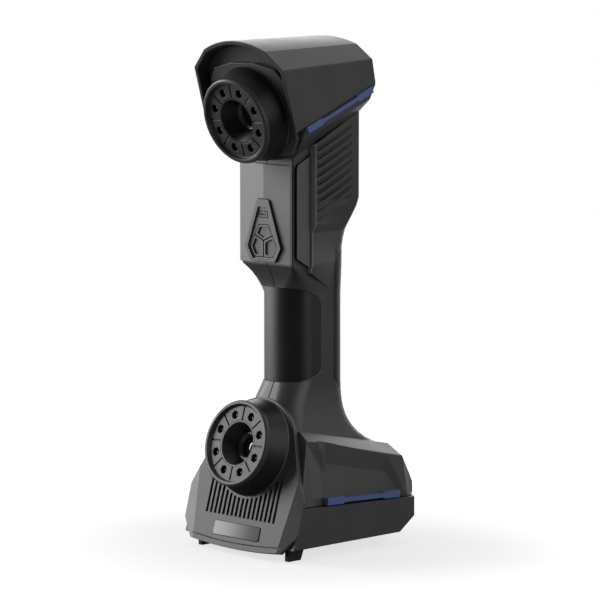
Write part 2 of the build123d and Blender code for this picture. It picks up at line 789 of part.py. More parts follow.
with BuildPart() as name_plate_left:
    mirror(name_plate_right.part, about=Plane.YZ)
save(name_plate_left, "name_plate_left")

# Finned side panel: swells out of the body side, grooves level at the front edge and then climbing
fin_rise = tan(radians(FIN_SLOPE))
fin_end = REAR_Y - FIN_BORDER
groove_fade = (FIN_GROOVE_DEPTH - FIN_RUN_OUT) / (fin_end - FIN_FRONT)
groove_floor = Plane(origin=(FIN_HALF - FIN_GROOVE_DEPTH, FIN_FRONT, 0), x_dir=(groove_fade, 1, 0),
                     z_dir=(1, -groove_fade, 0))
def fin_sections():
    """Levels up the side panel: z, half width at its front and rear edge, rear corner radius."""
    rows = [
        (CHEEK_LOW, HANDLE_HALF - CHEEK_SINK, HANDLE_HALF - CHEEK_SINK, HANDLE_REAR_R),
        (CHEEK_FULL, CHEEK_HALF, CHEEK_REAR_HALF, HANDLE_REAR_R),
        (REAR_GRIP_TOP, CHEEK_HALF, CHEEK_REAR_HALF, HANDLE_REAR_R),
    ]
    for step in range(FIN_STEPS + 1):
        share = step / FIN_STEPS
        level = FIN_ROOT_Z + (FIN_RAMP_TOP - FIN_ROOT_Z) * share
        out = min(max((level - CHEEK_STEP_Z) / CHEEK_STEP, 0), 1)
        front_half = CHEEK_HALF + (FIN_HALF - CHEEK_HALF) * out
        rear_half = HANDLE_HALF + FIN_LIP + (FIN_HALF - HANDLE_HALF - FIN_LIP) * swell(share)
        rows.append((level, front_half, rear_half, FIN_FRONT_R + (FIN_REAR_R - FIN_FRONT_R) * share))
    rows.append((body_top(REAR_Y) + FIN_PITCH, FIN_HALF, FIN_HALF, FIN_REAR_R))
    return rows


with BuildPart() as fin_panel_right:
    for level, front_half, rear_half, corner in fin_sections():
        with BuildSketch(Plane.XY.offset(level)) as section:
            outline_face([(0, FIN_FRONT), (front_half, FIN_FRONT), (rear_half, REAR_Y), (0, REAR_Y)])
            fillet(section.vertices().group_by(Axis.Y)[-1].sort_by(Axis.X)[-1:], corner)
    loft(ruled=True)
    split(bisect_by=BODY_TOP, keep=Keep.BOTTOM)
    split(bisect_by=sloping_plane(-CHEEK_FALL, CHEEK_EDGE_Z), keep=Keep.TOP)
    add(spine_skin, mode=Mode.SUBTRACT)
    for groove_row in range(FIN_ROWS):
        groove_z = body_top(FIN_FRONT) - (groove_row + FIN_FIRST_ROW) * FIN_PITCH
        climb = (fin_end - FIN_FRONT - FIN_LEAD) * fin_rise
        with BuildSketch(groove_floor):
            with BuildLine():
                FilletPolyline((FIN_FRONT_WALL, groove_z), (FIN_LEAD, groove_z),
                               (fin_end - FIN_FRONT, groove_z + climb), radius=FIN_BEND_R)
            trace(line_width=FIN_GROOVE_W)
        extrude(amount=2 * FIN_GROOVE_DEPTH, mode=Mode.SUBTRACT)
save(fin_panel_right, "fin_panel_right")

with BuildPart() as fin_panel_left:
    mirror(fin_panel_right.part, about=Plane.YZ)
save(fin_panel_left, "fin_panel_left")


def clip_outline(front, rear, height):
    """Trim bar with a thicker block at each end, top edge straight."""
    front_block = front + CLIP_BLOCK
    rear_block = rear - CLIP_BLOCK
    waist_front = front_block + CLIP_WAIST
    waist_rear = rear_block - CLIP_WAIST
    return [
        (front, 0), (front, -height), (front_block, -height),
        (waist_front, -height + CLIP_WAIST), (waist_rear, -height + CLIP_WAIST),
        (rear_block, -height), (rear, -height), (rear, 0),
        (rear_block, 0), (waist_rear, -CLIP_WAIST), (waist_front, -CLIP_WAIST), (front_block, 0),
    ]


lower_clip_plane = Plane(origin=(BASE_HALF - LOWER_CLIP_EMBED, 0, SEAM_Z + SEAM_GAP + LOWER_CLIP_H),
                         x_dir=(0, cos(seam_fall), -sin(seam_fall)), z_dir=(1, 0, 0))
with BuildPart() as lower_clip_right:
    with BuildSketch(lower_clip_plane):
        outline_face(clip_outline(LOWER_CLIP_FRONT, LOWER_CLIP_REAR, LOWER_CLIP_H))
    extrude(amount=LOWER_CLIP_EMBED + LOWER_CLIP_PROUD)
save(lower_clip_right, "lower_clip_right")

with BuildPart() as lower_clip_left:
    mirror(lower_clip_right.part, about=Plane.YZ)
save(lower_clip_left, "lower_clip_left")

slope_cos = cos(radians(HEAD_SLOPE))
upper_clip_sink = CLIP_EMBED + UPPER_CLIP_H * UPPER_CLIP_SINK_SHARE
upper_clip_plane = Plane(origin=(TRAY_HALF - upper_clip_sink, 0, hood_z(0)),
                         x_dir=(0, slope_cos, sin(radians(HEAD_SLOPE))), z_dir=(1, 0, 0))
with BuildPart() as upper_clip_right:
    with BuildSketch(upper_clip_plane):
        outline_face(clip_outline(UPPER_CLIP_FRONT / slope_cos, UPPER_CLIP_REAR / slope_cos, UPPER_CLIP_H))
    extrude(amount=upper_clip_sink + UPPER_CLIP_OUT)
save(upper_clip_right, "upper_clip_right")

with BuildPart() as upper_clip_left:
    mirror(upper_clip_right.part, about=Plane.YZ)
save(upper_clip_left, "upper_clip_left")

# Key windows, measured from the point where the three keys meet
key_z = SHELF_Z + KEY_CENTRE_RISE
well = mirrored([
    (KEY_WELL_TOP_HALF, key_z + KEY_WELL_TOP_RISE),
    (KEY_WELL_HALF, key_z + KEY_WELL_WIDE_RISE),
    (KEY_WELL_BOTTOM_HALF, key_z + KEY_WELL_BOTTOM_RISE),
])
panel_face = BODY_FRONT - PANEL_EDGE_T - PANEL_RIDGE
bezel_face = panel_face - KITE_PROUD
key_face = bezel_face + KEY_SUNK
key_back = key_face + KEY_T
wall_back = BODY_FRONT + WALL
switch_top = max(key_back, wall_back) + KEY_TRAVEL + SWITCH_GAP
board_front = switch_top + SWITCH_H
switch_spots = [
    (0, key_z + POWER_RISE),
    (0, key_z + KEY_WELL_TOP_RISE / 2),
    (SWITCH_SPREAD * KEY_WELL_HALF, key_z + KEY_WELL_BOTTOM_RISE / 2),
    (-SWITCH_SPREAD * KEY_WELL_HALF, key_z + KEY_WELL_BOTTOM_RISE / 2),
]
key_board_top = key_z + POWER_RISE + POWER_H / 2 + KEY_BOARD_MARGIN + POST_R
key_board_bottom = SHELF_Z + KEY_BOARD_MARGIN / 2
post_x = KEY_BOARD_HALF - POST_R - POST_MARGIN
post_spots = [(post_x, key_board_top - POST_R), (post_x, key_board_bottom + POST_R + POST_MARGIN)]

# Case: hollow handle, body and base in one outline, later parted down the middle
case_bosses = [(BASE_BOSS_X, BASE_BOSS_FRONT), (BASE_BOSS_X, BASE_BOSS_REAR)]
with BuildPart() as base_boss_set:
    with BuildSketch(Plane.XY):
        with Locations(case_bosses):
            Circle(BOSS_R)
    extrude(amount=FAR)
    add(base_skin, mode=Mode.INTERSECT)

with BuildPart() as case_right:
    add(spine_skin)
    add(base_skin)
    add(spine_space, mode=Mode.SUBTRACT)
    add(base_room.part, mode=Mode.SUBTRACT)
    add(side_sink.part, mode=Mode.SUBTRACT)
    split(bisect_by=BODY_TOP, keep=Keep.BOTTOM)
    split(bisect_by=Plane.YZ, keep=Keep.TOP)
    with BuildSketch(LOWER_BACK):
        with Locations((0, LOWER_PLATE_TOP)):
            Rectangle(FAR, FAR, align=(Align.CENTER, Align.MAX))
    extrude(amount=FAR, mode=Mode.SUBTRACT)
    with BuildSketch(face_plane(wall_back)):
        with Locations(post_spots):
            Circle(POST_R)
    extrude(amount=-(board_front - wall_back))
    with BuildSketch(Plane.YZ):
        with Locations((CASE_SCREW_Y, CASE_SCREW_LOW), (CASE_SCREW_Y, CASE_SCREW_HIGH)):
            Circle(BOSS_R)
    extrude(amount=HANDLE_HALF - GRIP_T - BOSS_END_COVER)
    add(base_boss_set.part)
    with BuildSketch(face_plane(bezel_face)):
        outline_face(well)
        with Locations((0, key_z + POWER_RISE)):
            Rectangle(POWER_W, POWER_H)
    extrude(amount=-(wall_back - bezel_face), mode=Mode.SUBTRACT)
    add(front_grip.part, mode=Mode.SUBTRACT)
    add(rear_grip.part, mode=Mode.SUBTRACT)
    add(name_recess.part, mode=Mode.SUBTRACT)
    add(lower_clip_right.part, mode=Mode.SUBTRACT)
    with BuildSketch(Plane.XY):
        with Locations(case_bosses):
            Circle(SCREW_R)
    extrude(amount=SEAM_Z + SCREW_BITE, mode=Mode.SUBTRACT)

# The two halves differ only at the case screws: pilot holes on the right, heads on the left
screw_spots = [(CASE_SCREW_Y, CASE_SCREW_LOW), (CASE_SCREW_Y, CASE_SCREW_HIGH)]
with BuildPart() as housing_right:
    add(case_right.part)
    with BuildSketch(Plane.YZ):
        with Locations(screw_spots):
            Circle(SCREW_R)
    extrude(amount=SCREW_BITE, mode=Mode.SUBTRACT)
save(housing_right, "housing_right")

screw_head_x = HANDLE_HALF - GRIP_T - SCREW_HEAD_COVER
with BuildPart() as housing_left:
    mirror(case_right.part, about=Plane.YZ)
    with BuildSketch(Plane.YZ):
        with Locations(screw_spots):
            Circle(SCREW_R + SCREW_FIT)
    extrude(amount=-screw_head_x, mode=Mode.SUBTRACT)
    with BuildSketch(Plane.YZ.offset(-screw_head_x)):
        with Locations(screw_spots):
            Circle(SCREW_HEAD_R + SCREW_FIT)
    extrude(amount=-HANDLE_HALF, mode=Mode.SUBTRACT)
save(housing_left, "housing_left")

with BuildPart() as case_screws:
    with BuildSketch(Plane.YZ.offset(-screw_head_x)):
        with Locations(screw_spots):
            Circle(SCREW_R - SCREW_FIT)
    extrude(amount=screw_head_x + SCREW_BITE - SCREW_FIT)
    with BuildSketch(Plane.YZ.offset(-screw_head_x)):
        with Locations(screw_spots):
            Circle(SCREW_HEAD_R)
    extrude(amount=-SCREW_HEAD_T)
    with BuildSketch(Plane.YZ.offset(-screw_head_x - SCREW_HEAD_T)):
        with Locations(screw_spots):
            RegularPolygon(HEX_R, side_count=6)
    extrude(amount=HEX_DEPTH, mode=Mode.SUBTRACT)
save(case_screws, "case_screws")

# Front panel with a shallow ridge down its middle, and the key bezel let into it
panel_bottom = SHELF_Z + PANEL_BOTTOM_RISE
panel_top = body_top(BODY_FRONT) - PANEL_TOP_GAP
kite = mirrored([
    (KITE_TOP_HALF, key_z + KITE_TOP_RISE),
    (KITE_HALF, key_z + KITE_WIDE_RISE),
    (KITE_BOTTOM_HALF, key_z + KITE_BOTTOM_RISE),
])
key_recess = mirrored([
    (RECESS_TOP_HALF, key_z + RECESS_TOP_RISE),
    (KEY_WELL_HALF + RECESS_MARGIN, key_z + KEY_WELL_WIDE_RISE),
    (KEY_WELL_BOTTOM_HALF + RECESS_MARGIN / 2, key_z + KEY_WELL_BOTTOM_RISE - RECESS_MARGIN),
])
panel_edge = BODY_FRONT - PANEL_EDGE_T
with BuildPart() as front_panel:
    with BuildSketch(Plane.XY.offset(panel_bottom)):
        outline_face([
            (-PANEL_HALF, BODY_FRONT), (PANEL_HALF, BODY_FRONT),
            (PANEL_HALF, panel_edge), (0, panel_face), (-PANEL_HALF, panel_edge),
        ])
    extrude(amount=panel_top - panel_bottom)
    with BuildSketch(face_plane(bezel_face)) as kite_sketch:
        outline_face(kite)
        fillet(kite_sketch.vertices(), KITE_CORNER_R)
        offset(amount=KITE_FIT, mode=Mode.REPLACE)
    extrude(amount=-(BODY_FRONT - bezel_face), mode=Mode.SUBTRACT)
save(front_panel, "front_panel")

with BuildPart() as key_bezel:
    with BuildSketch(face_plane(bezel_face)) as kite_sketch:
        outline_face(kite)
        fillet(kite_sketch.vertices(), KITE_CORNER_R)
        Polygon(*well, align=None, mode=Mode.SUBTRACT)
        with Locations((0, key_z + POWER_RISE)):
            Rectangle(POWER_W, POWER_H, mode=Mode.SUBTRACT)
    extrude(amount=-(BODY_FRONT - bezel_face))
    with BuildSketch(face_plane(bezel_face)):
        outline_face(key_recess)
    extrude(amount=-KEY_SUNK, mode=Mode.SUBTRACT)
save(key_bezel, "key_bezel")

fork = (0, key_z)
fork_right = (KEY_FORK_HALF, key_z + KEY_FORK_RISE)
fork_left = (-KEY_FORK_HALF, key_z + KEY_FORK_RISE)
fork_foot = (0, key_z + KEY_WELL_BOTTOM_RISE)
power_half = POWER_W / 2
power_low = key_z + POWER_RISE - POWER_H / 2
power_high = power_low + POWER_H
key_outlines = {
    "power_key": mirrored([(power_half, power_high), (power_half, power_low)]),
    "scan_key": [fork, fork_right, well[0], well[5], fork_left],
    "right_key": [fork, fork_foot, well[2], well[1], fork_right],
    "left_key": [fork, fork_left, well[4], well[3], fork_foot],
}
for (key_name, key_outline), spot in zip(key_outlines.items(), switch_spots):
    with BuildPart() as key:
        with BuildSketch(face_plane(key_face)):
            outline_face(key_outline)
            offset(amount=-KEY_GAP, kind=Kind.INTERSECTION, mode=Mode.REPLACE)
        extrude(amount=-KEY_T)
        with BuildSketch(face_plane(key_face)):
            outline_face(key_outline)
            offset(amount=-KEY_GAP - DISH_INSET, kind=Kind.INTERSECTION, mode=Mode.REPLACE)
        extrude(amount=-DISH_DEPTH, mode=Mode.SUBTRACT)
        with BuildSketch(face_plane(key_back)):
            with Locations(spot):
                Circle(PLUNGER_R)
        extrude(amount=-(switch_top - KEY_TRAVEL - SWITCH_GAP - key_back + PLUNGER_LAP))
    save(key, key_name)

with BuildPart() as key_board:
    with BuildSketch(face_plane(board_front)):
        with Locations((0, (key_board_top + key_board_bottom) / 2)):
            Rectangle(2 * KEY_BOARD_HALF, key_board_top - key_board_bottom)
    extrude(amount=-KEY_BOARD_T)
save(key_board, "key_board")

with BuildPart() as key_switches:
    with BuildSketch(face_plane(board_front)):
        with Locations(switch_spots):
            Rectangle(SWITCH_SIZE, min(SWITCH_SIZE, POWER_H + SWITCH_OVERLAP))
    extrude(amount=SWITCH_H - SWITCH_BUTTON_H)
    with BuildSketch(face_plane(switch_top + SWITCH_BUTTON_H)):
        with Locations(switch_spots):
            Circle(PLUNGER_R)
    extrude(amount=SWITCH_BUTTON_H)
save(key_switches, "key_switches")


# Head: outline of the hood at a depth, straight lines joining front and rear sections
def hood_outline(y, inset):
    share = (y - HOOD_FRONT_Y) / (REAR_Y - HOOD_FRONT_Y)

    def blend(front, rear):
        return UPPER_POD_Z + front + (rear - front) * share

    crest = (0, blend(CREST_RISE, REAR_CREST_RISE) - inset)
    corner = (CREST_HALF - CREST_INSET_SHARE * inset, blend(CREST_CORNER_RISE, REAR_CORNER_RISE) - inset)
    shoulder_z = blend(SHOULDER_RISE, REAR_SHOULDER_RISE) - SHOULDER_INSET_SHARE * inset
    shoulder = (SHOULDER_HALF - inset, shoulder_z)
    skirt = (SKIRT_HALF - inset, blend(-SKIRT_DROP, REAR_SKIRT_RISE))
    return crest, corner, shoulder, skirt


rear_lean = radians(HOOD_REAR_LEAN)
HOOD_REAR = Plane(origin=(0, REAR_Y, UPPER_POD_Z + REAR_SHOULDER_RISE), x_dir=(-1, 0, 0),
                  z_dir=(0, cos(rear_lean), sin(rear_lean)))
tray_lean = radians(TRAY_REAR_LEAN)
TRAY_REAR = Plane(origin=(0, REAR_Y, body_top(REAR_Y)), x_dir=(-1, 0, 0),
                  z_dir=(0, cos(tray_lean), -sin(tray_lean)))
HOOD_FRONT = Plane(origin=(0, HOOD_FRONT_Y, UPPER_POD_Z + SHOULDER_RISE), x_dir=(1, 0, 0),
                   z_dir=UPPER_POD.z_dir)
UPPER_FACE = UPPER_POD.offset(-(PLATE_SETBACK + PLATE_T))


def hood_solid(inset, rear_inset):
    with BuildPart() as solid:
        for y in (HEAD_CUT_FRONT, HEAD_CUT_REAR):
            crest, corner, shoulder, skirt = hood_outline(y, inset)
            flipped = [(-x, z) for x, z in (corner, shoulder, skirt)]
            with BuildSketch(face_plane(y)):
                with BuildLine():
                    ThreePointArc(flipped[0], crest, corner)
                    Polyline(corner, shoulder, skirt, flipped[2], flipped[1], flipped[0])
                make_face()
        loft(ruled=True)
        split(bisect_by=HOOD_JOINT, keep=Keep.TOP)
        split(bisect_by=HOOD_REAR.offset(-rear_inset), keep=Keep.BOTTOM)
    return solid.part


def tray_solid(inset, floor):
    """Trough under the hood: sides lean in to a floor on the body top, tapering to the front."""
    with BuildPart() as solid:
        for y in (HEAD_CUT_FRONT, HEAD_CUT_REAR):
            taper = TRAY_TAPER * (y - REAR_Y)
            with BuildSketch(face_plane(y)):
                outline_face(mirrored([
                    (TRAY_HALF - inset, hood_z(y)),
                    (TRAY_BEND_HALF - inset + taper / 2, hood_z(y) - TRAY_BEND + floor / 2),
                    (TRAY_FLOOR_HALF - inset / 2 + taper, body_top(y) + floor),
                ]))
        loft(ruled=True)
        split(bisect_by=TRAY_REAR.offset(-inset), keep=Keep.BOTTOM)
    return solid.part


with BuildPart() as hood:
    add(hood_solid(0, 0))
    split(bisect_by=HOOD_FRONT, keep=Keep.BOTTOM)
    add(hood_solid(HOOD_WALL, HOOD_WALL), mode=Mode.SUBTRACT)
save(hood, "hood")

with BuildPart() as head_tray:
    add(tray_solid(0, 0))
    split(bisect_by=UPPER_FACE, keep=Keep.BOTTOM)
    add(tray_solid(TRAY_WALL, TRAY_FLOOR_T), mode=Mode.SUBTRACT)
    with BuildSketch(Plane.XY.offset(body_top(TRAY_PORT_FRONT) - TRAY_PORT_CUT)):
        with Locations((0, (TRAY_PORT_FRONT + TRAY_PORT_REAR) / 2)):
            Rectangle(2 * TRAY_PORT_HALF, TRAY_PORT_REAR - TRAY_PORT_FRONT)
    extrude(amount=TRAY_BEND + 20, mode=Mode.SUBTRACT)
    add(upper_clip_right.part, mode=Mode.SUBTRACT)
    add(upper_clip_left.part, mode=Mode.SUBTRACT)
save(head_tray, "head_tray")

# Inside outline of the head, which the back plate fills
with BuildPart() as head_space:
    add(hood_solid(HOOD_WALL + SLIP, 0))
    add(tray_solid(TRAY_WALL + SLIP, TRAY_FLOOR_T + SLIP))

with BuildPart() as upper_back_plate:
    with BuildSketch(UPPER_BACK):
        Rectangle(FAR, FAR)
        Circle(barrel_inner, mode=Mode.SUBTRACT)
    extrude(amount=BACK_PLATE_T)
    add(head_space.part, mode=Mode.INTERSECT)
save(upper_back_plate, "upper_back_plate")

with BuildPart() as upper_collar:
    with BuildSketch(UPPER_POD.offset(-PLATE_SETBACK - PLATE_T)) as collar_sketch:
        outline_face(mirrored([
            (COLLAR_TOP_HALF, COLLAR_TOP),
            (COLLAR_CORNER_HALF, COLLAR_CORNER),
            (COLLAR_HALF, COLLAR_SHOULDER),
            (COLLAR_HALF, COLLAR_SIDE_BOTTOM),
            (COLLAR_BOTTOM_HALF, COLLAR_BOTTOM),
        ]))
        fillet(collar_sketch.vertices(), PLATE_CORNER_R)
        Circle(barrel_inner, mode=Mode.SUBTRACT)
    extrude(amount=PLATE_T)
save(upper_collar, "upper_collar")

# Lower front plate: follows the barrel at the top, spreads to the base, grille slots and a bare badge
plate_rim = barrel_foot_r + SLOT_RIM_GAP
plate_half = BASE_HALF + LOWER_PLATE_PROUD
toe_half = plate_half - LOWER_PLATE_TOE_IN


def fold_plane(side):
    """Plane that folds one side of the lower plate back, outside a line down its face."""
    face = -PLATE_SETBACK
    high = LOWER_POD.from_local_coords((side * (plate_half - FOLD_TOP_IN), LOWER_PLATE_SIDE_TOP, face))
    low = LOWER_POD.from_local_coords((side * (plate_half - FOLD_TOE_IN), LOWER_PLATE_TOE, face))
    edge = LOWER_POD.from_local_coords((side * plate_half, LOWER_PLATE_SIDE_BOTTOM, face - FOLD_DROP))
    return Plane(origin=high, z_dir=(low - high).cross(edge - high) * side)


with BuildPart() as badge_plate:
    with BuildSketch(LOWER_POD.offset(-PLATE_SETBACK - BADGE_T + BADGE_PROUD)):
        with Locations((0, BADGE_V)):
            RectangleRounded(BADGE_W, BADGE_H, PLATE_CORNER_R)
    extrude(amount=BADGE_T)
save(badge_plate, "badge_plate")

with BuildPart() as lower_front_plate:
    with BuildSketch(LOWER_BACK):
        with BuildLine():
            top = (0, LOWER_PLATE_TOP)
            plate_ear_half = sqrt(LOWER_PLATE_TOP ** 2 - LOWER_PLATE_EAR ** 2) + LOWER_PLATE_EAR_OUT
            ear = (plate_ear_half, LOWER_PLATE_EAR)
            waist = (plate_half - LOWER_PLATE_WAIST_IN, LOWER_PLATE_SIDE_TOP / 2)
            side_top = (plate_half, LOWER_PLATE_SIDE_TOP)
            side_low = (plate_half, LOWER_PLATE_SIDE_BOTTOM)
            toe = (toe_half, LOWER_PLATE_TOE)
            bow = (0, LOWER_PLATE_TOE - LOWER_PLATE_BOW)
            left = [(-x, v) for x, v in (ear, waist, side_top, side_low, toe)]
            ThreePointArc(left[0], top, ear)
            Polyline(ear, waist, side_top, side_low, toe)
            ThreePointArc(toe, bow, left[4])
            Polyline(left[4], left[3], left[2], left[1], left[0])
        make_face()
        Circle(barrel_inner, mode=Mode.SUBTRACT)
        for slot in range(SLOT_COUNT):
            slot_x = (slot - (SLOT_COUNT - 1) / 2) * SLOT_PITCH
            rim = -sqrt(max(plate_rim ** 2 - slot_x ** 2, 0))
            slot_top = min(SLOT_TOP, rim)
            with Locations((slot_x, (slot_top + SLOT_BOTTOM) / 2)):
                Rectangle(SLOT_W, slot_top - SLOT_BOTTOM, mode=Mode.SUBTRACT)
    extrude(amount=PLATE_T)
    add(badge_plate.part, mode=Mode.SUBTRACT)
    with BuildSketch(LOWER_POD.offset(-PLATE_SETBACK)):
        with BuildLine():
            line_v = LOWER_PLATE_TOE + TOE_LINE_RISE
            ThreePointArc((-toe_half, line_v), (0, line_v - LOWER_PLATE_BOW), (toe_half, line_v))
        trace(line_width=TOE_LINE_W)
    extrude(amount=-TOE_LINE_DEPTH, mode=Mode.SUBTRACT)
    for side in (-1, 1):
        split(bisect_by=fold_plane(side), keep=Keep.BOTTOM)
save(lower_front_plate, "lower_front_plate")

# Base cover: open tray below the seam, chamfered behind, with screw bosses
corner_x = BASE_HALF - BASE_CORNER_X
corner_y = BASE_REAR - BASE_CORNER_Y
chamfer_top = BASE_BOTTOM + BASE_CHAMFER_Z
floor_z = BASE_BOTTOM + WALL


def cover_outline(inset, back):
    half = BASE_HALF - inset
    rear = BASE_REAR - inset - back
    return [(half, -BASE_REACH), (half, corner_y - back - inset / 2), (corner_x - inset / 2, rear)]


with BuildPart() as base_cover:
    for level, back in ((BASE_BOTTOM, BASE_CHAMFER_Y), (chamfer_top, 0)):
        with BuildSketch(Plane.XY.offset(level)):
            outline_face(mirrored(cover_outline(0, back)))
    loft(ruled=True)
    with BuildSketch(Plane.XY.offset(chamfer_top)):
        outline_face(mirrored(cover_outline(0, 0)))
    extrude(amount=2 * SEAM_Z - chamfer_top)
    for level, back in ((floor_z, BASE_CHAMFER_Y), (chamfer_top + WALL / 2, 0)):
        with BuildSketch(Plane.XY.offset(level)):
            outline_face(mirrored(cover_outline(WALL, back)))
    loft(ruled=True, mode=Mode.SUBTRACT)
    with BuildSketch(Plane.XY.offset(chamfer_top + WALL / 2)):
        outline_face(mirrored(cover_outline(WALL, 0)))
    extrude(amount=FAR, mode=Mode.SUBTRACT)
    with BuildSketch(Plane.XY.offset(floor_z)):
        with GridLocations(2 * BASE_BOSS_X, BASE_BOSS_REAR - BASE_BOSS_FRONT, 2, 2):
            with Locations((0, (BASE_BOSS_REAR + BASE_BOSS_FRONT) / 2)):
                Circle(BOSS_R)
    extrude(amount=SEAM_Z)
    split(bisect_by=SEAM.offset(-SEAM_GAP), keep=Keep.BOTTOM)
    split(bisect_by=LOWER_BACK, keep=Keep.BOTTOM)
    with BuildSketch(Plane.XY.offset(BASE_BOTTOM)):
        with GridLocations(2 * BASE_BOSS_X, BASE_BOSS_REAR - BASE_BOSS_FRONT, 2, 2):
            with Locations((0, (BASE_BOSS_REAR + BASE_BOSS_FRONT) / 2)):
                Circle(SCREW_R + SCREW_FIT)
    extrude(amount=SEAM_Z, mode=Mode.SUBTRACT)
    with BuildSketch(Plane.XY.offset(BASE_BOTTOM)):
        with GridLocations(2 * BASE_BOSS_X, BASE_BOSS_REAR - BASE_BOSS_FRONT, 2, 2):
            with Locations((0, (BASE_BOSS_REAR + BASE_BOSS_FRONT) / 2)):
                Circle(SCREW_HEAD_R + SCREW_FIT)
    extrude(amount=HEAD_SINK, mode=Mode.SUBTRACT)
    with BuildSketch(face_plane(BASE_REAR + 1)):
        with Locations((0, SOCKET_Z)):
            Circle(SOCKET_BODY_R + SLIP)
    extrude(amount=WALL + 2, mode=Mode.SUBTRACT)
save(base_cover, "base_cover")

with BuildPart() as base_screws:
    with GridLocations(2 * BASE_BOSS_X, BASE_BOSS_REAR - BASE_BOSS_FRONT, 2, 2):
        with Locations((0, (BASE_BOSS_REAR + BASE_BOSS_FRONT) / 2, BASE_BOTTOM + HEAD_SINK)):
            Cylinder(SCREW_R - SCREW_FIT, SEAM_Z + SCREW_BITE - BASE_BOTTOM - HEAD_SINK - SCREW_FIT,
                     align=(Align.CENTER, Align.CENTER, Align.MIN))
            Cylinder(SCREW_HEAD_R, SCREW_HEAD_T, align=(Align.CENTER, Align.CENTER, Align.MAX))
    with BuildSketch(Plane.XY.offset(BASE_BOTTOM + HEAD_SINK - SCREW_HEAD_T)):
        with Locations((0, (BASE_BOSS_REAR + BASE_BOSS_FRONT) / 2)):
            with GridLocations(2 * BASE_BOSS_X, BASE_BOSS_REAR - BASE_BOSS_FRONT, 2, 2):
                RegularPolygon(HEX_R, side_count=6)
    extrude(amount=HEX_DEPTH, mode=Mode.SUBTRACT)
save(base_screws, "base_screws")

with BuildPart() as front_feet:
    with BuildSketch(Plane.YZ.offset(FOOT_X)):
        outline_face([
            (FOOT_FRONT, BASE_BOTTOM), (FOOT_FRONT, 0),
            (FOOT_FRONT + FOOT_LENGTH - FOOT_TAPER, 0), (FOOT_FRONT + FOOT_LENGTH, BASE_BOTTOM),
        ])
    extrude(amount=FOOT_W)
    mirror(about=Plane.YZ)
save(front_feet, "front_feet")

with BuildPart() as rear_foot:
    with BuildSketch(Plane.XY.offset(BASE_BOTTOM)):
        with Locations((0, REAR_FOOT_Y)):
            RectangleRounded(REAR_FOOT_W, REAR_FOOT_D, PLATE_CORNER_R)
    extrude(amount=-BASE_BOTTOM)
save(rear_foot, "rear_foot")

socket_axis_plane = Plane(origin=(0, BASE_REAR, SOCKET_Z), x_dir=(1, 0, 0), z_dir=(0, 1, 0))
with BuildPart() as cable_socket:
    with BuildSketch(socket_axis_plane):
        Circle(SOCKET_FLANGE_R)
    extrude(amount=SOCKET_FLANGE_T)
    with BuildSketch(socket_axis_plane):
        Circle(SOCKET_BODY_R)
    extrude(amount=-SOCKET_BODY_LENGTH)
    with BuildSketch(socket_axis_plane.offset(SOCKET_FLANGE_T)):
        Circle(SOCKET_BORE_R)
    extrude(amount=-SOCKET_BORE_LENGTH, mode=Mode.SUBTRACT)
save(cable_socket, "cable_socket")

# Chassis: upright bar with a bracket behind each camera, ears in the handle, posts for the board
chassis_rear = CHASSIS_FRONT + CHASSIS_T
ear_half = HANDLE_HALF - WALL - EAR_SLIP
board_height = BOARD_TOP - BOARD_BOTTOM
with BuildPart() as chassis:
    with Locations((0, chassis_rear, CHASSIS_FOOT_Z)):
        Box(2 * CHASSIS_HALF, CHASSIS_T, UPPER_POD_Z - CHASSIS_FOOT_Z + 16,
            align=(Align.CENTER, Align.MAX, Align.MIN))
    with Locations((0, chassis_rear, EAR_Z)):
        Box(2 * ear_half, CHASSIS_T, EAR_H, align=(Align.CENTER, Align.MAX, Align.MIN))
    for pod_name, pod in PODS:
        with BuildSketch(pod.offset(-camera_back)):
            Rectangle(CAMERA_SIZE, CAMERA_SIZE)
        extrude(amount=-BRACKET_T)
        with BuildSketch(pod.offset(-camera_back - BRACKET_T)):
            Rectangle(CAMERA_SIZE / 2, CAMERA_SIZE / 2)
        extrude(amount=-CHASSIS_T)
    with BuildSketch(face_plane(CHASSIS_FRONT)):
        with Locations((0, (BOARD_TOP + BOARD_BOTTOM) / 2)):
            with GridLocations(2 * CHASSIS_HALF - 4 * POST_R, board_height - 2 * BOARD_POST_INSET, 2, 2):
                Circle(POST_R)
    extrude(amount=BOARD_STANDOFF)
save(chassis, "chassis")

board_back = CHASSIS_FRONT - BOARD_STANDOFF
with BuildPart() as main_board:
    with BuildSketch(face_plane(board_back)):
        with Locations((0, (BOARD_TOP + BOARD_BOTTOM) / 2)):
            Rectangle(2 * BOARD_HALF, board_height)
    extrude(amount=BOARD_T)
save(main_board, "main_board")

with BuildPart() as board_chips:
    with BuildSketch(face_plane(board_back - BOARD_T)):
        with Locations((0, BOARD_BOTTOM + MAIN_CHIP_RISE_SHARE * board_height)):
            Rectangle(MAIN_CHIP_SIDE_SHARE * BOARD_HALF, MAIN_CHIP_SIDE_SHARE * BOARD_HALF)
        with GridLocations(BOARD_HALF, BOARD_HALF, 2, 2):
            with Locations((0, BOARD_BOTTOM + SMALL_CHIP_RISE_SHARE * board_height)):
                Rectangle(SMALL_CHIP_W_SHARE * BOARD_HALF, SMALL_CHIP_H_SHARE * BOARD_HALF)
        with Locations((0, BOARD_BOTTOM + PLUG_H_SHARE * BOARD_HALF)):
            Rectangle(PLUG_W_SHARE * BOARD_HALF, PLUG_H_SHARE * BOARD_HALF)
    extrude(amount=CHIP_T)
save(board_chips, "board_chips")

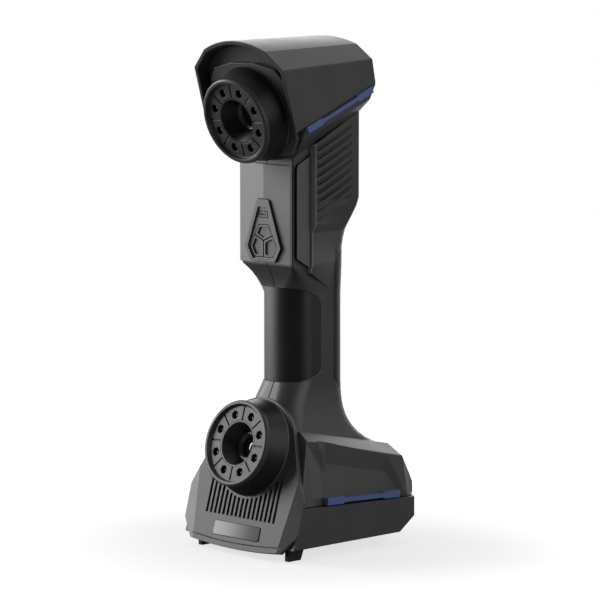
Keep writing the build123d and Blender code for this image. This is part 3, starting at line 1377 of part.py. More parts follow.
# Cooling fan behind the grille
fan_front = LOWER_BACK
fan_back = LOWER_BACK.offset(-FAN_T)
blade_r = FAN_BORE_R - FAN_TIP_GAP
hub_back = FAN_T - SPIDER_T - SPIDER_GAP
fan_centre = LOWER_BACK.from_local_coords((0, FAN_V, 0))
fan_up = LOWER_BACK.y_dir
fan_out = LOWER_BACK.z_dir
with BuildPart() as fan_frame:
    with BuildSketch(fan_front):
        with Locations((0, FAN_V)):
            RectangleRounded(FAN_SIZE, FAN_SIZE, 2 * PLATE_CORNER_R)
            Circle(FAN_BORE_R, mode=Mode.SUBTRACT)
    extrude(amount=-FAN_T)
    with BuildSketch(fan_back):
        with Locations((0, FAN_V)):
            Circle(FAN_HUB_R)
            Rectangle(2 * FAN_BORE_R + 1, SPIDER_ARM)
            Rectangle(SPIDER_ARM, 2 * FAN_BORE_R + 1)
    extrude(amount=SPIDER_T)
    with BuildSketch(fan_back):
        with Locations((0, FAN_V)):
            Circle(PIN_R)
    extrude(amount=SPIDER_T + PIN_LENGTH)
save(fan_frame, "fan_frame")

with BuildPart() as fan_rotor:
    with BuildSketch(fan_front.offset(-hub_back)):
        with Locations((0, FAN_V)):
            Circle(FAN_HUB_R)
    extrude(amount=hub_back - FAN_END_GAP)
    for blade in range(FAN_BLADES):
        turn = radians(360 * blade / FAN_BLADES)
        radial = Vector(1, 0, 0) * cos(turn) + fan_up * sin(turn)
        root = radial * (FAN_HUB_R - BLADE_ROOT)
        middle = fan_centre - fan_out * ((hub_back + FAN_END_GAP) / 2) + root
        blade_plane = Plane(origin=middle, x_dir=radial.cross(fan_out), z_dir=radial)
        with BuildSketch(blade_plane):
            Rectangle(BLADE_CHORD, BLADE_T, rotation=BLADE_ANGLE)
        extrude(amount=sqrt(blade_r ** 2 - (BLADE_CHORD / 2) ** 2) - FAN_HUB_R + BLADE_ROOT)
    with BuildSketch(fan_front.offset(-hub_back)):
        with Locations((0, FAN_V)):
            Circle(PIN_R + PIN_RUNNING)
    extrude(amount=PIN_LENGTH, mode=Mode.SUBTRACT)
save(fan_rotor, "fan_rotor")
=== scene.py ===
"""Looks of a hand-held three-d scanner: finishes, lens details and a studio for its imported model."""

import math

import bmesh
import bpy
import numpy as np
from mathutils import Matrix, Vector


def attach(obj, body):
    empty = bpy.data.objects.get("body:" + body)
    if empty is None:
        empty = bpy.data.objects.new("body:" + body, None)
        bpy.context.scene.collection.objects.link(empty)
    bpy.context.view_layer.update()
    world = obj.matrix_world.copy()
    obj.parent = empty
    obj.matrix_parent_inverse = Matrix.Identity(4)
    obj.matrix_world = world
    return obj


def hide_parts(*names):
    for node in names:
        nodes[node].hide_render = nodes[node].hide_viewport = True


bl_info = {
    "name": "Hand-held scanner looks",
    "version": (1, 0, 0),
    "blender": (4, 5, 0),
    "location": "View3D > Sidebar > Scanner",
    "description": "Finishes, lens details and studio of a hand-held scanner",
    "category": "Object",
}

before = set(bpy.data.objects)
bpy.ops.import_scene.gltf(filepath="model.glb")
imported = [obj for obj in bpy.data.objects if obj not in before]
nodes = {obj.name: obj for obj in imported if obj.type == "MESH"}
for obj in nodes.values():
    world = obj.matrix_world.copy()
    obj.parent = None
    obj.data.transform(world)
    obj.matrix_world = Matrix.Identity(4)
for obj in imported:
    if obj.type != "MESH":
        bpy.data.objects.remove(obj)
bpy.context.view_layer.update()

PODS = ("upper", "lower")
LAMPS = ("key", "fill", "top", "rear")
ACROSS, DEPTH = 0, 1

# Drift and grain of every finish
DRIFT_SCALE = 45.0
DRIFT_DETAIL = 3.0
DRIFT_RANGE = (0.3, 0.7)
DRIFT_SHARE = 0.8
DRIFT_ROUGHNESS = 0.12
GRAIN_DETAIL = 2.0
GRAIN_CONTRAST = 0.6
GRAIN_SHARE = 0.2
GRAIN_ROUGHNESS = 0.06
GRAIN_LIFT = 0.5

# Where the painted shade, painted highlights and painted reflection begin and end, as the two ends of a
# smooth step: metres, or parts of a direction
FIN_FACE = (0.02595, 0.0256)
FIN_GROOVE_FOOT = (0.1980, 0.1995)
FIN_GROOVE_FRONT = (-0.0128, -0.0124)
FIN_FRONT_EDGE = (-0.0126, -0.0128)
SQUARE_PART = (0.75, 0.35)
BADGE_ENDS = (-0.017, 0.017)
FOOT_FADE = 0.0002

# Glass
COATING_BLEND = 0.35
COATING_GAIN = 1.6
POLISH_SCALE = 300.0
POLISH = 0.03

# Meshes
CAD_WELD = 2e-6
POLE_WELD = 1e-7
EDGE_SEGMENTS = 2
TURN_SEGMENTS = 128
THREAD_STEPS = 4
DOME_STEPS = 24
RING_STEPS = 13
RING_ROUNDNESS = 0.5
FLOOR_SIDES = 96

# Surround: the way from the camera past the object, and where the studio brightens along it
PAST_OBJECT = (-0.70, 0.70, 0.14)
BRIGHTENING = (-0.05, 0.7)
FLOOR_DRIFT_SCALE = 4.0
FLOOR_DRIFT_GAIN = 0.99


def length(name, description, default):
    """A size in metres."""
    return bpy.props.FloatProperty(name=name, description=description, default=default, min=0.0,
                                   unit="LENGTH", precision=5)


def share(name, description, default):
    """A plain number from 0 to 1."""
    return bpy.props.FloatProperty(name=name, description=description, default=default, min=0.0,
                                   max=1.0, subtype="FACTOR")


def angle(name, description, degrees):
    """An angle, given in degrees."""
    return bpy.props.FloatProperty(name=name, description=description, default=math.radians(degrees),
                                   subtype="ANGLE")


def watts(name, description, default):
    """The power of a lamp."""
    return bpy.props.FloatProperty(name=name, description=description, default=default, min=0.0,
                                   unit="POWER")


def point(name, description, x, y, z):
    """A point in metres."""
    return bpy.props.FloatVectorProperty(name=name, description=description, size=3, default=(x, y, z),
                                         subtype="TRANSLATION", unit="LENGTH")


def colour(name, description, red, green, blue):
    """A linear colour."""
    return bpy.props.FloatVectorProperty(name=name, description=description, size=3, min=0.0, max=1.0,
                                         subtype="COLOR", default=(red, green, blue))


class ScannerSizes(bpy.types.PropertyGroup):
    """Sizes of the roundings and of the camera pods' details."""

    shell_edge: length("Shell edge", "Width of the rounding along the large mouldings' edges", 0.0005)
    fine_edge: length("Fine edge", "Width of the rounding along the small pieces' edges", 0.00022)
    soft_edge: length("Soft edge", "Width of the rounding along the rubber's edges", 0.0004)
    edge_angle: angle("Edge angle", "Corners sharper than this are rounded", 28)
    crease_angle: angle("Crease angle", "Shading breaks at creases sharper than this", 9.5)
    panel_crease: angle("Panel crease", "The same for the front panel with its flat ridge", 5)
    grip_half: length("Grip half", "Half the width of the handle at the grips", 0.017)
    grip_middle: length("Grip middle", "Distance of the front rounding's middle from the middle plane",
                        0.006)
    grip_reach: length("Grip reach", "Reach of the front rounding before its middle", 0.014)
    pod_tilt: angle("Pod tilt", "Turn of each camera pod towards the middle of the view", 16.5)
    pod_front: length("Pod front", "Distance of the pod faces in front of the middle plane", 0.0510)
    upper_pod: length("Upper pod", "Height of the upper pod's face centre", 0.2433)
    lower_pod: length("Lower pod", "Height of the lower pod's face centre", 0.0636)
    foot_depth: length("Foot depth", "Depth of the barrels' foot behind the pod face", 0.0143)
    mouth_depth: length("Mouth depth", "Depth of the light shield's mouth behind the pod face", 0.002)
    mouth_radius: length("Mouth radius", "Inner radius of the light shield's mouth", 0.0123)
    rim_radius: length("Rim radius", "Outer radius of the light shield's mouth", 0.01315)
    rim_depth: length("Rim depth", "Depth where the light shield begins to narrow outside", 0.0036)
    cell_depth: length("Cell depth", "Depth of the lens cell's front behind the pod face", 0.011)
    cell_radius: length("Cell radius", "Outer radius of the lens cell", 0.0094)
    throat_radius: length("Throat radius", "Inner radius of the light shield at the lens cell", 0.0085)
    thread_depth: length("Thread depth", "Depth of the anti-glare threads in the light shield", 0.0003)
    threads: bpy.props.IntProperty(
        name="Threads", description="Number of anti-glare threads in a light shield", default=13, min=1)
    lens_radius: length("Lens radius", "Radius of the front lens", 0.00558)
    lens_depth: length("Lens depth", "Depth of the front lens's crown behind the pod face", 0.0122)
    lens_dome: length("Lens dome", "Height of the front lens's dome", 0.0017)
    lens_edge: length("Lens edge", "Thickness of the front lens at its rim", 0.0012)
    ring_height: length("Ring height", "Height of the ring that holds the lens cell", 0.0005)
    ring_inner_gap: length("Ring inner gap", "Gap between the front lens and the ring", 0.0015)
    ring_outer_gap: length("Ring outer gap", "Gap between the ring and the light shield", 0.0002)
    seal_depth: length("Seal depth", "Thickness of the seals behind the base's seam", 0.001)
    seal_foot: length("Seal foot", "Height of the seals' lower edge", 0.0265)
    seal_top: length("Seal top", "Height of the seals' upper edge", 0.0315)
    seal_half: length("Seal half", "Half the width of the rear seal", 0.031)
    seal_rear: length("Seal rear", "Distance of the rear seal's back behind the middle plane", 0.0521)
    seal_side: length("Seal side", "Distance of the side seals' outer face from the middle plane",
                      0.0382)
    seal_nose: length("Seal nose", "Front end of the side seals", 0.039)
    seal_boss: length("Seal boss", "End of the side seals before the front screws", 0.0275)
    seal_front: length("Seal front", "Start of the side seals behind the front screws", 0.015)
    seal_end: length("Seal end", "Rear end of the side seals", 0.030)


class ScannerColours(bpy.types.PropertyGroup):
    """Colours of the finishes, as linear values. The shade of grooves and walls, the light fin edges,
    the light band at each barrel's foot and the badge's fade are painted shade, painted highlights and
    a painted reflection.
    """

    shell: colour("Shell", "Handle and base mouldings", 0.044, 0.044, 0.045)
    hood: colour("Hood", "Head mouldings", 0.040, 0.040, 0.041)
    panel: colour("Panel", "Front panel", 0.180, 0.180, 0.183)
    plate: colour("Plate", "Slotted plate and collar", 0.049, 0.049, 0.050)
    name_plate: colour("Name plate", "Bare plates on the sides of the handle", 0.085, 0.085, 0.087)
    # Painted light: the front edges of the finned panels take this light colour where light from the
    # front would fall.
    edge: colour("Edge", "Front edges of the finned panels", 0.260, 0.260, 0.264)
    rubber: colour("Rubber", "Grips and feet", 0.008, 0.008, 0.0085)
    trim: colour("Trim", "Blue clips", 0.068, 0.100, 0.245)
    barrel: colour("Barrel", "Pod barrels and light shields", 0.007, 0.007, 0.0075)
    # Painted highlight: this light band round each barrel's foot stands in for the light line along
    # that edge.
    foot: colour("Barrel foot", "Narrow band round the foot of a barrel", 0.100, 0.100, 0.102)
    bezel: colour("Bezel", "Lamp rings", 0.034, 0.034, 0.035)
    field: colour("Field", "Key field", 0.130, 0.130, 0.133)
    key: colour("Key", "Keys", 0.115, 0.115, 0.118)
    # Painted shade: this near-black colour darkens the fin grooves and the walls of the name plates,
    # the key field and the keys where shade falls.
    painted_shade: colour("Groove", "Shaded grooves and walls", 0.004, 0.004, 0.004)
    lens_metal: colour("Lens metal", "Lens cells", 0.100, 0.100, 0.104)
    lens: colour("Lens", "Coated front lenses", 0.010, 0.012, 0.022)
    lamp: colour("Lamp", "Lamp domes", 0.050, 0.050, 0.052)
    # Painted reflection: the badge fades from the left-end colour to the dark right-end colour, as the
    # lamp's reflection fades across it.
    badge: colour("Badge", "Bare metal badge, left end", 0.120, 0.120, 0.122)
    badge_painted_dark_end: colour("Badge end", "Bare metal badge, right end", 0.012, 0.012, 0.0125)
    steel: colour("Steel", "Screws", 0.420, 0.420, 0.430)
    aluminium: colour("Aluminium", "Inner frame", 0.600, 0.600, 0.620)
    board: colour("Board", "Circuit boards", 0.030, 0.140, 0.070)
    chip: colour("Chip", "Chips, switches and fan", 0.030, 0.030, 0.031)


class ScannerStage(bpy.types.PropertyGroup):
    """Studio: camera, lamps and floor."""

    eye: point("Eye", "Place of the camera", 1.333, -1.301, 0.3555)
    target: point("Target", "Point that the camera and the lamps look at", 0.0, 0.0, 0.140)
    lens: bpy.props.FloatProperty(
        name="Focal length", description="Focal length of the camera, in millimetres", default=198.0,
        min=1.0, unit="CAMERA")
    key_place: point("Key place", "Place of the large lamp at the left front", -1.54, -0.82, 0.60)
    key_size: length("Key size", "Side of the large lamp at the left front", 1.3)
    key_power: watts("Key power", "Power of the large lamp at the left front", 41.0)
    fill_place: point("Fill place", "Place of the lamp at the right", 1.70, 0.35, 0.85)
    fill_size: length("Fill size", "Side of the lamp at the right", 1.8)
    fill_power: watts("Fill power", "Power of the lamp at the right", 19.0)
    top_place: point("Top place", "Place of the lamp overhead", 0.0, 0.25, 1.60)
    top_size: length("Top size", "Side of the lamp overhead", 1.4)
    top_power: watts("Top power", "Power of the lamp overhead", 5.0)
    rear_place: point("Rear place", "Place of the lamp behind the object", -1.20, 1.45, 0.55)
    rear_size: length("Rear size", "Side of the lamp behind the object", 1.5)
    rear_power: watts("Rear power", "Power of the lamp behind the object", 10.0)
    ambient: share("Ambient", "Level of the light from all round", 0.13)
    dim_side: share("Dim side", "Level of the studio behind the camera, as gloss shows it", 0.06)
    floor: colour("Floor", "Floor", 0.250, 0.250, 0.250)
    floor_radius: length("Floor radius", "Radius of the floor round the object", 0.6)
    floor_near: length("Floor near", "Radius where the floor begins to turn white", 0.07)
    floor_far: share("Floor far", "Share of the floor's radius where it is white", 0.4)
    floor_level: share("Floor level", "Level of the floor beside the object, as the camera sees it",
                       0.72)


class Sock:
    """A shader output that can be reckoned with: each operator adds one Math node to its tree."""

    def __init__(self, tree, out=None):
        self.tree = tree
        self.out = out

    def node(self, kind, settings=None, inputs=None, output=0):
        """Adds a node of that kind, sets its settings, then its socket values or links."""
        made = self.tree.nodes.new(kind)
        for key, value in (settings or {}).items():
            setattr(made, key, value)
        for key, value in (inputs or {}).items():
            if isinstance(value, Sock):
                self.tree.links.new(value.out, made.inputs[key])
            else:
                made.inputs[key].default_value = value
        return Sock(self.tree, made.outputs[output] if len(made.outputs) else None)

    def math(self, operation, first, second=0.0):
        """A Math node on one or two values."""
        return self.node("ShaderNodeMath", {"operation": operation}, {0: first, 1: second})

    def __add__(self, other):
        return self.math("ADD", self, other)

    def __radd__(self, other):
        return self.math("ADD", other, self)

    def __sub__(self, other):
        return self.math("SUBTRACT", self, other)

    def __rsub__(self, other):
        return self.math("SUBTRACT", other, self)

    def __mul__(self, other):
        return self.math("MULTIPLY", self, other)

    def __rmul__(self, other):
        return self.math("MULTIPLY", other, self)

    def __truediv__(self, other):
        return self.math("DIVIDE", self, other)

    def __rtruediv__(self, other):
        return self.math("DIVIDE", other, self)

    def ramp(self, low, high, start=0.0, end=1.0):
        """Smooth step of this value from low to high, given as start to end."""
        settings = {"interpolation_type": "SMOOTHSTEP"}
        limits = {"From Min": low, "From Max": high, "To Min": start, "To Max": end, "Value": self}
        return self.node("ShaderNodeMapRange", settings, limits)

    def axes(self):
        """The three parts of this vector."""
        made = self.tree.nodes.new("ShaderNodeSeparateXYZ")
        self.tree.links.new(self.out, made.inputs[0])
        return [Sock(self.tree, out) for out in made.outputs]

    def over(self, under, laid):
        """A colour laid over another one by this value."""
        return self.node("ShaderNodeMix", {"data_type": "RGBA"},
                         {"Factor": self, 6: under, 7: rgba(laid)}, output=2)

    def tint(self, dark, light):
        """Colour between dark and light at this value."""
        return self.node("ShaderNodeMix", {"data_type": "RGBA"},
                         {"Factor": self, 6: rgba(dark), 7: rgba(light)}, output=2)


def rgba(values, gain=1.0):
    """A colour with full cover, its parts times the gain and at most 1."""
    return tuple(min(1.0, part * gain) for part in values[:3]) + (1.0,)


def material(name):
    """A new material with an empty tree, and a start for building it."""
    made = bpy.data.materials.new(name)
    made.use_nodes = True
    made.node_tree.nodes.clear()
    return made, Sock(made.node_tree)


def surface(name, base, roughness, specular=0.35, metallic=0.0, cloud=0.10, grain=0.00002,
            grain_scale=2600.0, stretch=(1.0, 1.0, 1.0), patches=(), crown=None):
    """One finish: the base colour drifts softly over the piece, roughness drifts with it, and a fine
    grain lifts the normal; stretch draws the grain out for brushed metal. Each patch lays its colour
    where its rule, a function of the place and the surface's direction, gives 1. A crown shades the
    front of an upright piece as an ellipse."""
    made, start = material(name)
    place = start.node("ShaderNodeTexCoord", output="Object")
    drift = place.node("ShaderNodeTexNoise", None,
                       {"Vector": place, "Scale": DRIFT_SCALE, "Detail": DRIFT_DETAIL})
    laid = place.node("ShaderNodeMapping", None, {"Vector": place, "Scale": stretch})
    fine = laid.node("ShaderNodeTexNoise", None, {
        "Vector": laid, "Scale": grain_scale, "Detail": GRAIN_DETAIL, "Roughness": GRAIN_CONTRAST})
    shade = drift.ramp(*DRIFT_RANGE) * DRIFT_SHARE + fine * GRAIN_SHARE
    lift = {"Strength": GRAIN_LIFT, "Distance": grain, "Height": fine}
    if crown:
        lift["Normal"] = crowned(place, *crown)
    bump = fine.node("ShaderNodeBump", None, lift)
    paint = shade.tint(rgba(base, 1.0 - cloud), rgba(base, 1.0 + cloud))
    facing = start.node("ShaderNodeTexCoord", output="Normal") if patches else None
    # Patches lay painted shade, painted highlights and a painted reflection over the drifting colour.
    for rule, patch in patches:
        paint = rule(place, facing).over(paint, patch)
    middle = roughness - GRAIN_ROUGHNESS / 2.0
    shader = start.node("ShaderNodeBsdfPrincipled", None, {
        "Base Color": paint,
        "Roughness": (drift - 0.5) * DRIFT_ROUGHNESS + fine * GRAIN_ROUGHNESS + middle,
        "Specular IOR Level": specular,
        "Metallic": metallic,
        "Normal": bump,
    })
    start.node("ShaderNodeOutputMaterial", None, {"Surface": shader})
    return made


def crowned(place, half, middle, reach):
    """Direction of an upright elliptic cylinder at a place: (x / half^2, (y - middle) / reach^2, 0),
    made one long; behind its middle it points straight to the side."""
    across, depth, _ = place.axes()
    ahead = depth.math("MINIMUM", depth - middle, 0.0)
    way = place.node("ShaderNodeCombineXYZ", None, {0: across / half ** 2, 1: ahead / reach ** 2})
    return way.node("ShaderNodeVectorMath", {"operation": "NORMALIZE"}, {0: way})


def glass(name, base):
    """Dark coated glass: the coating's tint turns from blue to violet where the surface turns away."""
    made, start = material(name)
    facing = start.node("ShaderNodeLayerWeight", None, {"Blend": COATING_BLEND}, output="Facing")
    place = start.node("ShaderNodeTexCoord", output="Object")
    drift = place.node("ShaderNodeTexNoise", None, {"Vector": place, "Scale": POLISH_SCALE})
    shader = start.node("ShaderNodeBsdfPrincipled", None, {
        "Base Color": facing.tint(rgba(base), rgba((base[2], base[1], base[2]), COATING_GAIN)),
        "Roughness": drift * POLISH + POLISH,
        "Specular IOR Level": 0.8,
        "Coat Weight": 0.6,
        "Coat Roughness": 0.02,
    })
    start.node("ShaderNodeOutputMaterial", None, {"Surface": shader})
    return made


def dress(names, finish, edge=0.0, crease=None):
    """Gives CAD nodes a finish. Where edge is set, their sharp corners are rounded by that width, and
    the shading breaks at every crease sharper than the crease angle."""
    sizes = bpy.context.scene.scanner_sizes
    for name in names:
        piece = nodes[name]
        piece.data.materials.clear()
        piece.data.materials.append(finish)
        if not edge:
            continue
        weld = piece.modifiers.new("Join", "WELD")
        weld.merge_threshold = CAD_WELD
        bevel = piece.modifiers.new("Edges", "BEVEL")
        bevel.limit_method = "ANGLE"
        bevel.angle_limit = sizes.edge_angle
        bevel.width = edge
        bevel.segments = EDGE_SEGMENTS
        bevel.use_clamp_overlap = False
        split = piece.modifiers.new("Creases", "EDGE_SPLIT")
        split.split_angle = crease or sizes.crease_angle
        split.use_edge_sharp = False
        normal = piece.modifiers.new("Normals", "WEIGHTED_NORMAL")
        normal.keep_sharp = False


def painted_shade_in_grooves(place, facing):
    """Painted shade: where a fin panel lies below its outer face, from the lowest of its grooves up,
    the floors of the grooves take a dark colour as shade.
    """
    across, depth, height = place.axes()
    sunk = across.math("ABSOLUTE", across).ramp(*FIN_FACE)
    return sunk * height.ramp(*FIN_GROOVE_FOOT) * depth.ramp(*FIN_GROOVE_FRONT)


def painted_light_on_front_edge(place, facing):
    """Painted light: the front edge of a fin panel, lightened as if lit from the front."""
    return place.axes()[DEPTH].ramp(*FIN_FRONT_EDGE)


def badge_painted_reflection(place, facing):
    """Painted reflection: rises from the left end to the right end of the badge, laying the dark end
    colour where the lamp's reflection fades.
    """
    return place.axes()[ACROSS].ramp(*BADGE_ENDS)


def painted_shade_on_walls(axis):
    """Rule for painted shade on walls, the faces whose direction is square to an axis of the object."""

    def rule(place, facing):
        part = facing.axes()[axis]
        return part.math("ABSOLUTE", part).ramp(*SQUARE_PART)

    return rule


def painted_highlight_at_foot(which):
    """Rule for a painted highlight: the narrow band round the foot of a pod's barrel, lighter as the
    light line along that edge.
    """
    centre, _, _, out = pod_frame(which)
    start = bpy.context.scene.scanner_sizes.foot_depth

    def rule(place, facing):
        away = place.node("ShaderNodeVectorMath", {"operation": "SUBTRACT"}, {0: place, 1: centre})
        depth = away.node("ShaderNodeVectorMath", {"operation": "DOT_PRODUCT"}, {0: away, 1: -out},
                          output="Value")
        return depth.ramp(start - FOOT_FADE, start)

    return rule


def sided(name):
    """Both sides of a paired node."""
    return [name + "_left", name + "_right"]


def paired(name):
    """Both pods' node of that name."""
    return [which + "_" + name for which in PODS]


def pod_frame(which):
    """Centre of a pod's face and its axes: across, up the face, and out along the lens."""
    sizes = bpy.context.scene.scanner_sizes
    lean = -1.0 if which == "upper" else 1.0
    centre = np.array([0.0, -sizes.pod_front, getattr(sizes, which + "_pod")])
    out = np.array([0.0, -math.cos(sizes.pod_tilt), lean * math.sin(sizes.pod_tilt)])
    across = np.array([1.0, 0.0, 0.0])
    return centre, across, np.cross(out, across), out


def grid_mesh(name, grid, close_rows):
    """A mesh on a grid of points that closes along its columns, and along its rows where asked."""
    rows, columns = grid.shape[:2]
    step = np.arange(rows if close_rows else rows - 1)[:, None]
    turn = np.arange(columns)[None, :]
    here, after = step * columns, (step + 1) % rows * columns
    following = (turn + 1) % columns
    quads = np.stack([here + turn, here + following, after + following, after + turn], axis=-1)
    mesh = bpy.data.meshes.new(name)
    mesh.from_pydata(grid.reshape(-1, 3), [], quads.reshape(-1, 4).tolist())
    return mesh


def linked(name, mesh):
    """An object of that mesh in the scene."""
    made = bpy.data.objects.new(name, mesh)
    bpy.context.scene.collection.objects.link(made)
    return made


def turned(name, profile, which, closed=True, smooth=True):
    """A piece turned on a pod's axis: for each profile point (radius r, depth d) and each turn t, the
    point centre + r cos(t) across + r sin(t) up - d out. A closed profile makes a ring; an open one
    starts and ends on the axis."""
    centre, across, up, out = pod_frame(which)
    radius, depth = np.asarray(profile, float).T
    turn = np.linspace(0.0, 2.0 * math.pi, TURN_SEGMENTS, endpoint=False)
    spoke = np.cos(turn)[:, None] * across + np.sin(turn)[:, None] * up
    grid = centre + radius[:, None, None] * spoke[None] - depth[:, None, None] * out
    mesh = grid_mesh(name, grid, closed)
    if not closed:
        weld_poles(mesh)
    mesh.update()
    if smooth:
        mesh.polygons.foreach_set("use_smooth", np.ones(len(mesh.polygons), bool))
    return linked(name, mesh)


def blocks(name, corners):
    """A piece of upright blocks, each from its low to its high corner: the points low + (high - low) c
    for the eight corners c of a unit cube, x first, then y, then z, and six outward faces."""
    low, high = np.asarray(corners, float).transpose(1, 0, 2)
    cube = np.indices((2, 2, 2)).reshape(3, -1).T[:, ::-1]
    points = low[:, None] + (high - low)[:, None] * cube
    faces = np.array([[0, 2, 3, 1], [4, 5, 7, 6], [0, 1, 5, 4],
                      [2, 6, 7, 3], [0, 4, 6, 2], [1, 3, 7, 5]])
    start = len(cube) * np.arange(len(low))[:, None, None]
    mesh = bpy.data.meshes.new(name)
    mesh.from_pydata(points.reshape(-1, 3), [], (faces + start).reshape(-1, 4).tolist())
    return linked(name, mesh)


def weld_poles(mesh):
    """Joins the points that lie on each other, so that the poles are closed, and turns the faces
    outwards."""
    work = bmesh.new()
    work.from_mesh(mesh)
    bmesh.ops.remove_doubles(work, verts=work.verts, dist=POLE_WELD)
    bmesh.ops.recalc_face_normals(work, faces=work.faces)
    work.to_mesh(mesh)
    work.free()


class SCANNER_OT_shell(bpy.types.Operator):
    """Finishes the handle halves and the base cover"""

    bl_idname = "scanner.shell"
    bl_label = "Shell"

    def execute(self, context):
        sizes, colours = context.scene.scanner_sizes, context.scene.scanner_colours
        finish = surface("shell_plastic", colours.shell, roughness=0.38)
        dress(sided("housing") + ["base_cover"], finish, sizes.shell_edge)
        return {"FINISHED"}


class SCANNER_OT_head(bpy.types.Operator):
    """Finishes the hood, the tray under it and the finned side panels"""

    bl_idname = "scanner.head"
    bl_label = "Head"

    def execute(self, context):
        sizes, colours = context.scene.scanner_sizes, context.scene.scanner_colours
        finish = surface("hood_plastic", colours.hood, roughness=0.36)
        dress(["hood", "head_tray"], finish, sizes.shell_edge)
        # Painted shade in the fin grooves and painted light on the fin panels' front edges.
        patches = ((painted_shade_in_grooves, colours.painted_shade), (painted_light_on_front_edge, colours.edge))
        fins = surface("fin_plastic", colours.hood, roughness=0.38, patches=patches)
        dress(sided("fin_panel"), fins, sizes.fine_edge)
        return {"FINISHED"}


class SCANNER_OT_front(bpy.types.Operator):
    """Finishes the front panel, the slotted plate, the collar, the badge and the name plates"""

    bl_idname = "scanner.front"
    bl_label = "Front"

    def execute(self, context):
        sizes, colours = context.scene.scanner_sizes, context.scene.scanner_colours
        panel = surface("panel_grey", colours.panel, roughness=0.40)
        dress(["front_panel"], panel, sizes.fine_edge, sizes.panel_crease)
        plate = surface("plate_grey", colours.plate, roughness=0.42)
        dress(["lower_front_plate", "upper_collar", "upper_back_plate"], plate, sizes.fine_edge)
        # The badge's colour fades from left to right as a painted reflection.
        metal = surface("badge_metal", colours.badge, roughness=0.42, specular=0.5, metallic=0.7,
                        cloud=0.06, grain=0.00001, grain_scale=900.0, stretch=(0.05, 1.0, 1.0),
                        patches=((badge_painted_reflection, colours.badge_painted_dark_end),))
        dress(["badge_plate"], metal, sizes.fine_edge)
        # Painted shade on the walls round the name plates.
        walls = ((painted_shade_on_walls(ACROSS), colours.painted_shade),)
        name = surface("name_plastic", colours.name_plate, roughness=0.40, patches=walls)
        dress(sided("name_plate"), name, sizes.fine_edge)
        return {"FINISHED"}


class SCANNER_OT_keys(bpy.types.Operator):
    """Finishes the key field, its keys and what is behind them"""

    bl_idname = "scanner.keys"
    bl_label = "Keys"

    def execute(self, context):
        sizes, colours = context.scene.scanner_sizes, context.scene.scanner_colours
        # Painted shade on the walls of the key field and the keys.
        walls = ((painted_shade_on_walls(DEPTH), colours.painted_shade),)
        field = surface("key_field", colours.field, roughness=0.40, patches=walls)
        dress(["key_bezel"], field, sizes.fine_edge)
        key = surface("key_plastic", colours.key, roughness=0.42, patches=walls)
        dress(["power_key", "scan_key", "left_key", "right_key"], key, sizes.fine_edge)
        dress(["key_board"], surface("key_board_green", colours.board, roughness=0.45))
        dress(["key_switches"], surface("switch_black", colours.chip, roughness=0.5))
        return {"FINISHED"}


class SCANNER_OT_grips(bpy.types.Operator):
    """Finishes the rubber grips"""

    bl_idname = "scanner.grips"
    bl_label = "Grips"

    def execute(self, context):
        sizes, colours = context.scene.scanner_sizes, context.scene.scanner_colours
        look = {"roughness": 0.40, "specular": 0.40, "grain": 0.00003, "grain_scale": 1800.0}
        crown = (sizes.grip_half, -sizes.grip_middle, sizes.grip_reach)
        front = surface("front_rubber", colours.rubber, crown=crown, **look)
        dress(["front_grip"], front, sizes.soft_edge)
        dress(["rear_grip"], surface("rear_rubber", colours.rubber, **look), sizes.soft_edge)
        return {"FINISHED"}


class SCANNER_OT_clips(bpy.types.Operator):
    """Finishes the blue clips"""

    bl_idname = "scanner.clips"
    bl_label = "Clips"

    def execute(self, context):
        sizes, colours = context.scene.scanner_sizes, context.scene.scanner_colours
        finish = surface("trim_blue", colours.trim, roughness=0.38, specular=0.4)
        dress(sided("upper_clip") + sided("lower_clip"), finish, sizes.fine_edge)
        return {"FINISHED"}


class SCANNER_OT_pods(bpy.types.Operator):
    """Finishes the pods' barrels, lamp rings, lamps and lamp boards"""

    bl_idname = "scanner.pods"
    bl_label = "Pods"

    def execute(self, context):
        sizes, colours = context.scene.scanner_sizes, context.scene.scanner_colours
        for which in PODS:
            # Painted highlight: a light band round the foot of each barrel.
            foot = ((painted_highlight_at_foot(which), colours.foot),)
            barrel = surface(which + "_barrel_black", colours.barrel, roughness=0.45, specular=0.3,
                             patches=foot)
            dress([which + "_barrel"], barrel, sizes.fine_edge)
        dress(paired("bezel"), surface("bezel_satin", colours.bezel, roughness=0.38), sizes.fine_edge)
        dress(paired("lamps"), surface("lamp_clear", colours.lamp, roughness=0.12, specular=0.6))
        dress(paired("lamp_board"), surface("lamp_board_black", colours.chip, roughness=0.5))
        return {"FINISHED"}


class SCANNER_OT_shields(bpy.types.Operator):
    """Turns the light shields in the pods' mouths: a cone with a saw-tooth thread inside"""

    bl_idname = "scanner.shields"
    bl_label = "Light shields"

    def execute(self, context):
        sizes, colours = context.scene.scanner_sizes, context.scene.scanner_colours
        finish = surface("shield_black", colours.barrel, roughness=0.40, specular=0.4)
        step = np.linspace(0.0, 1.0, THREAD_STEPS * sizes.threads + 1)
        cone = sizes.throat_radius + (sizes.mouth_radius - sizes.throat_radius) * step
        depth = sizes.cell_depth + (sizes.mouth_depth - sizes.cell_depth) * step
        saw = sizes.thread_depth * (step * sizes.threads % 1.0)
        inner = np.stack([cone + saw, depth], axis=1)
        outer = [(sizes.rim_radius, sizes.mouth_depth), (sizes.rim_radius, sizes.rim_depth),
                 (sizes.cell_radius, sizes.cell_depth)]
        for which in PODS:
            piece = turned(which + "_shield", np.concatenate([inner, outer]), which, smooth=False)
            piece.data.materials.append(finish)
            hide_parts(which + "_baffle")
            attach(piece, "scanner")
        return {"FINISHED"}


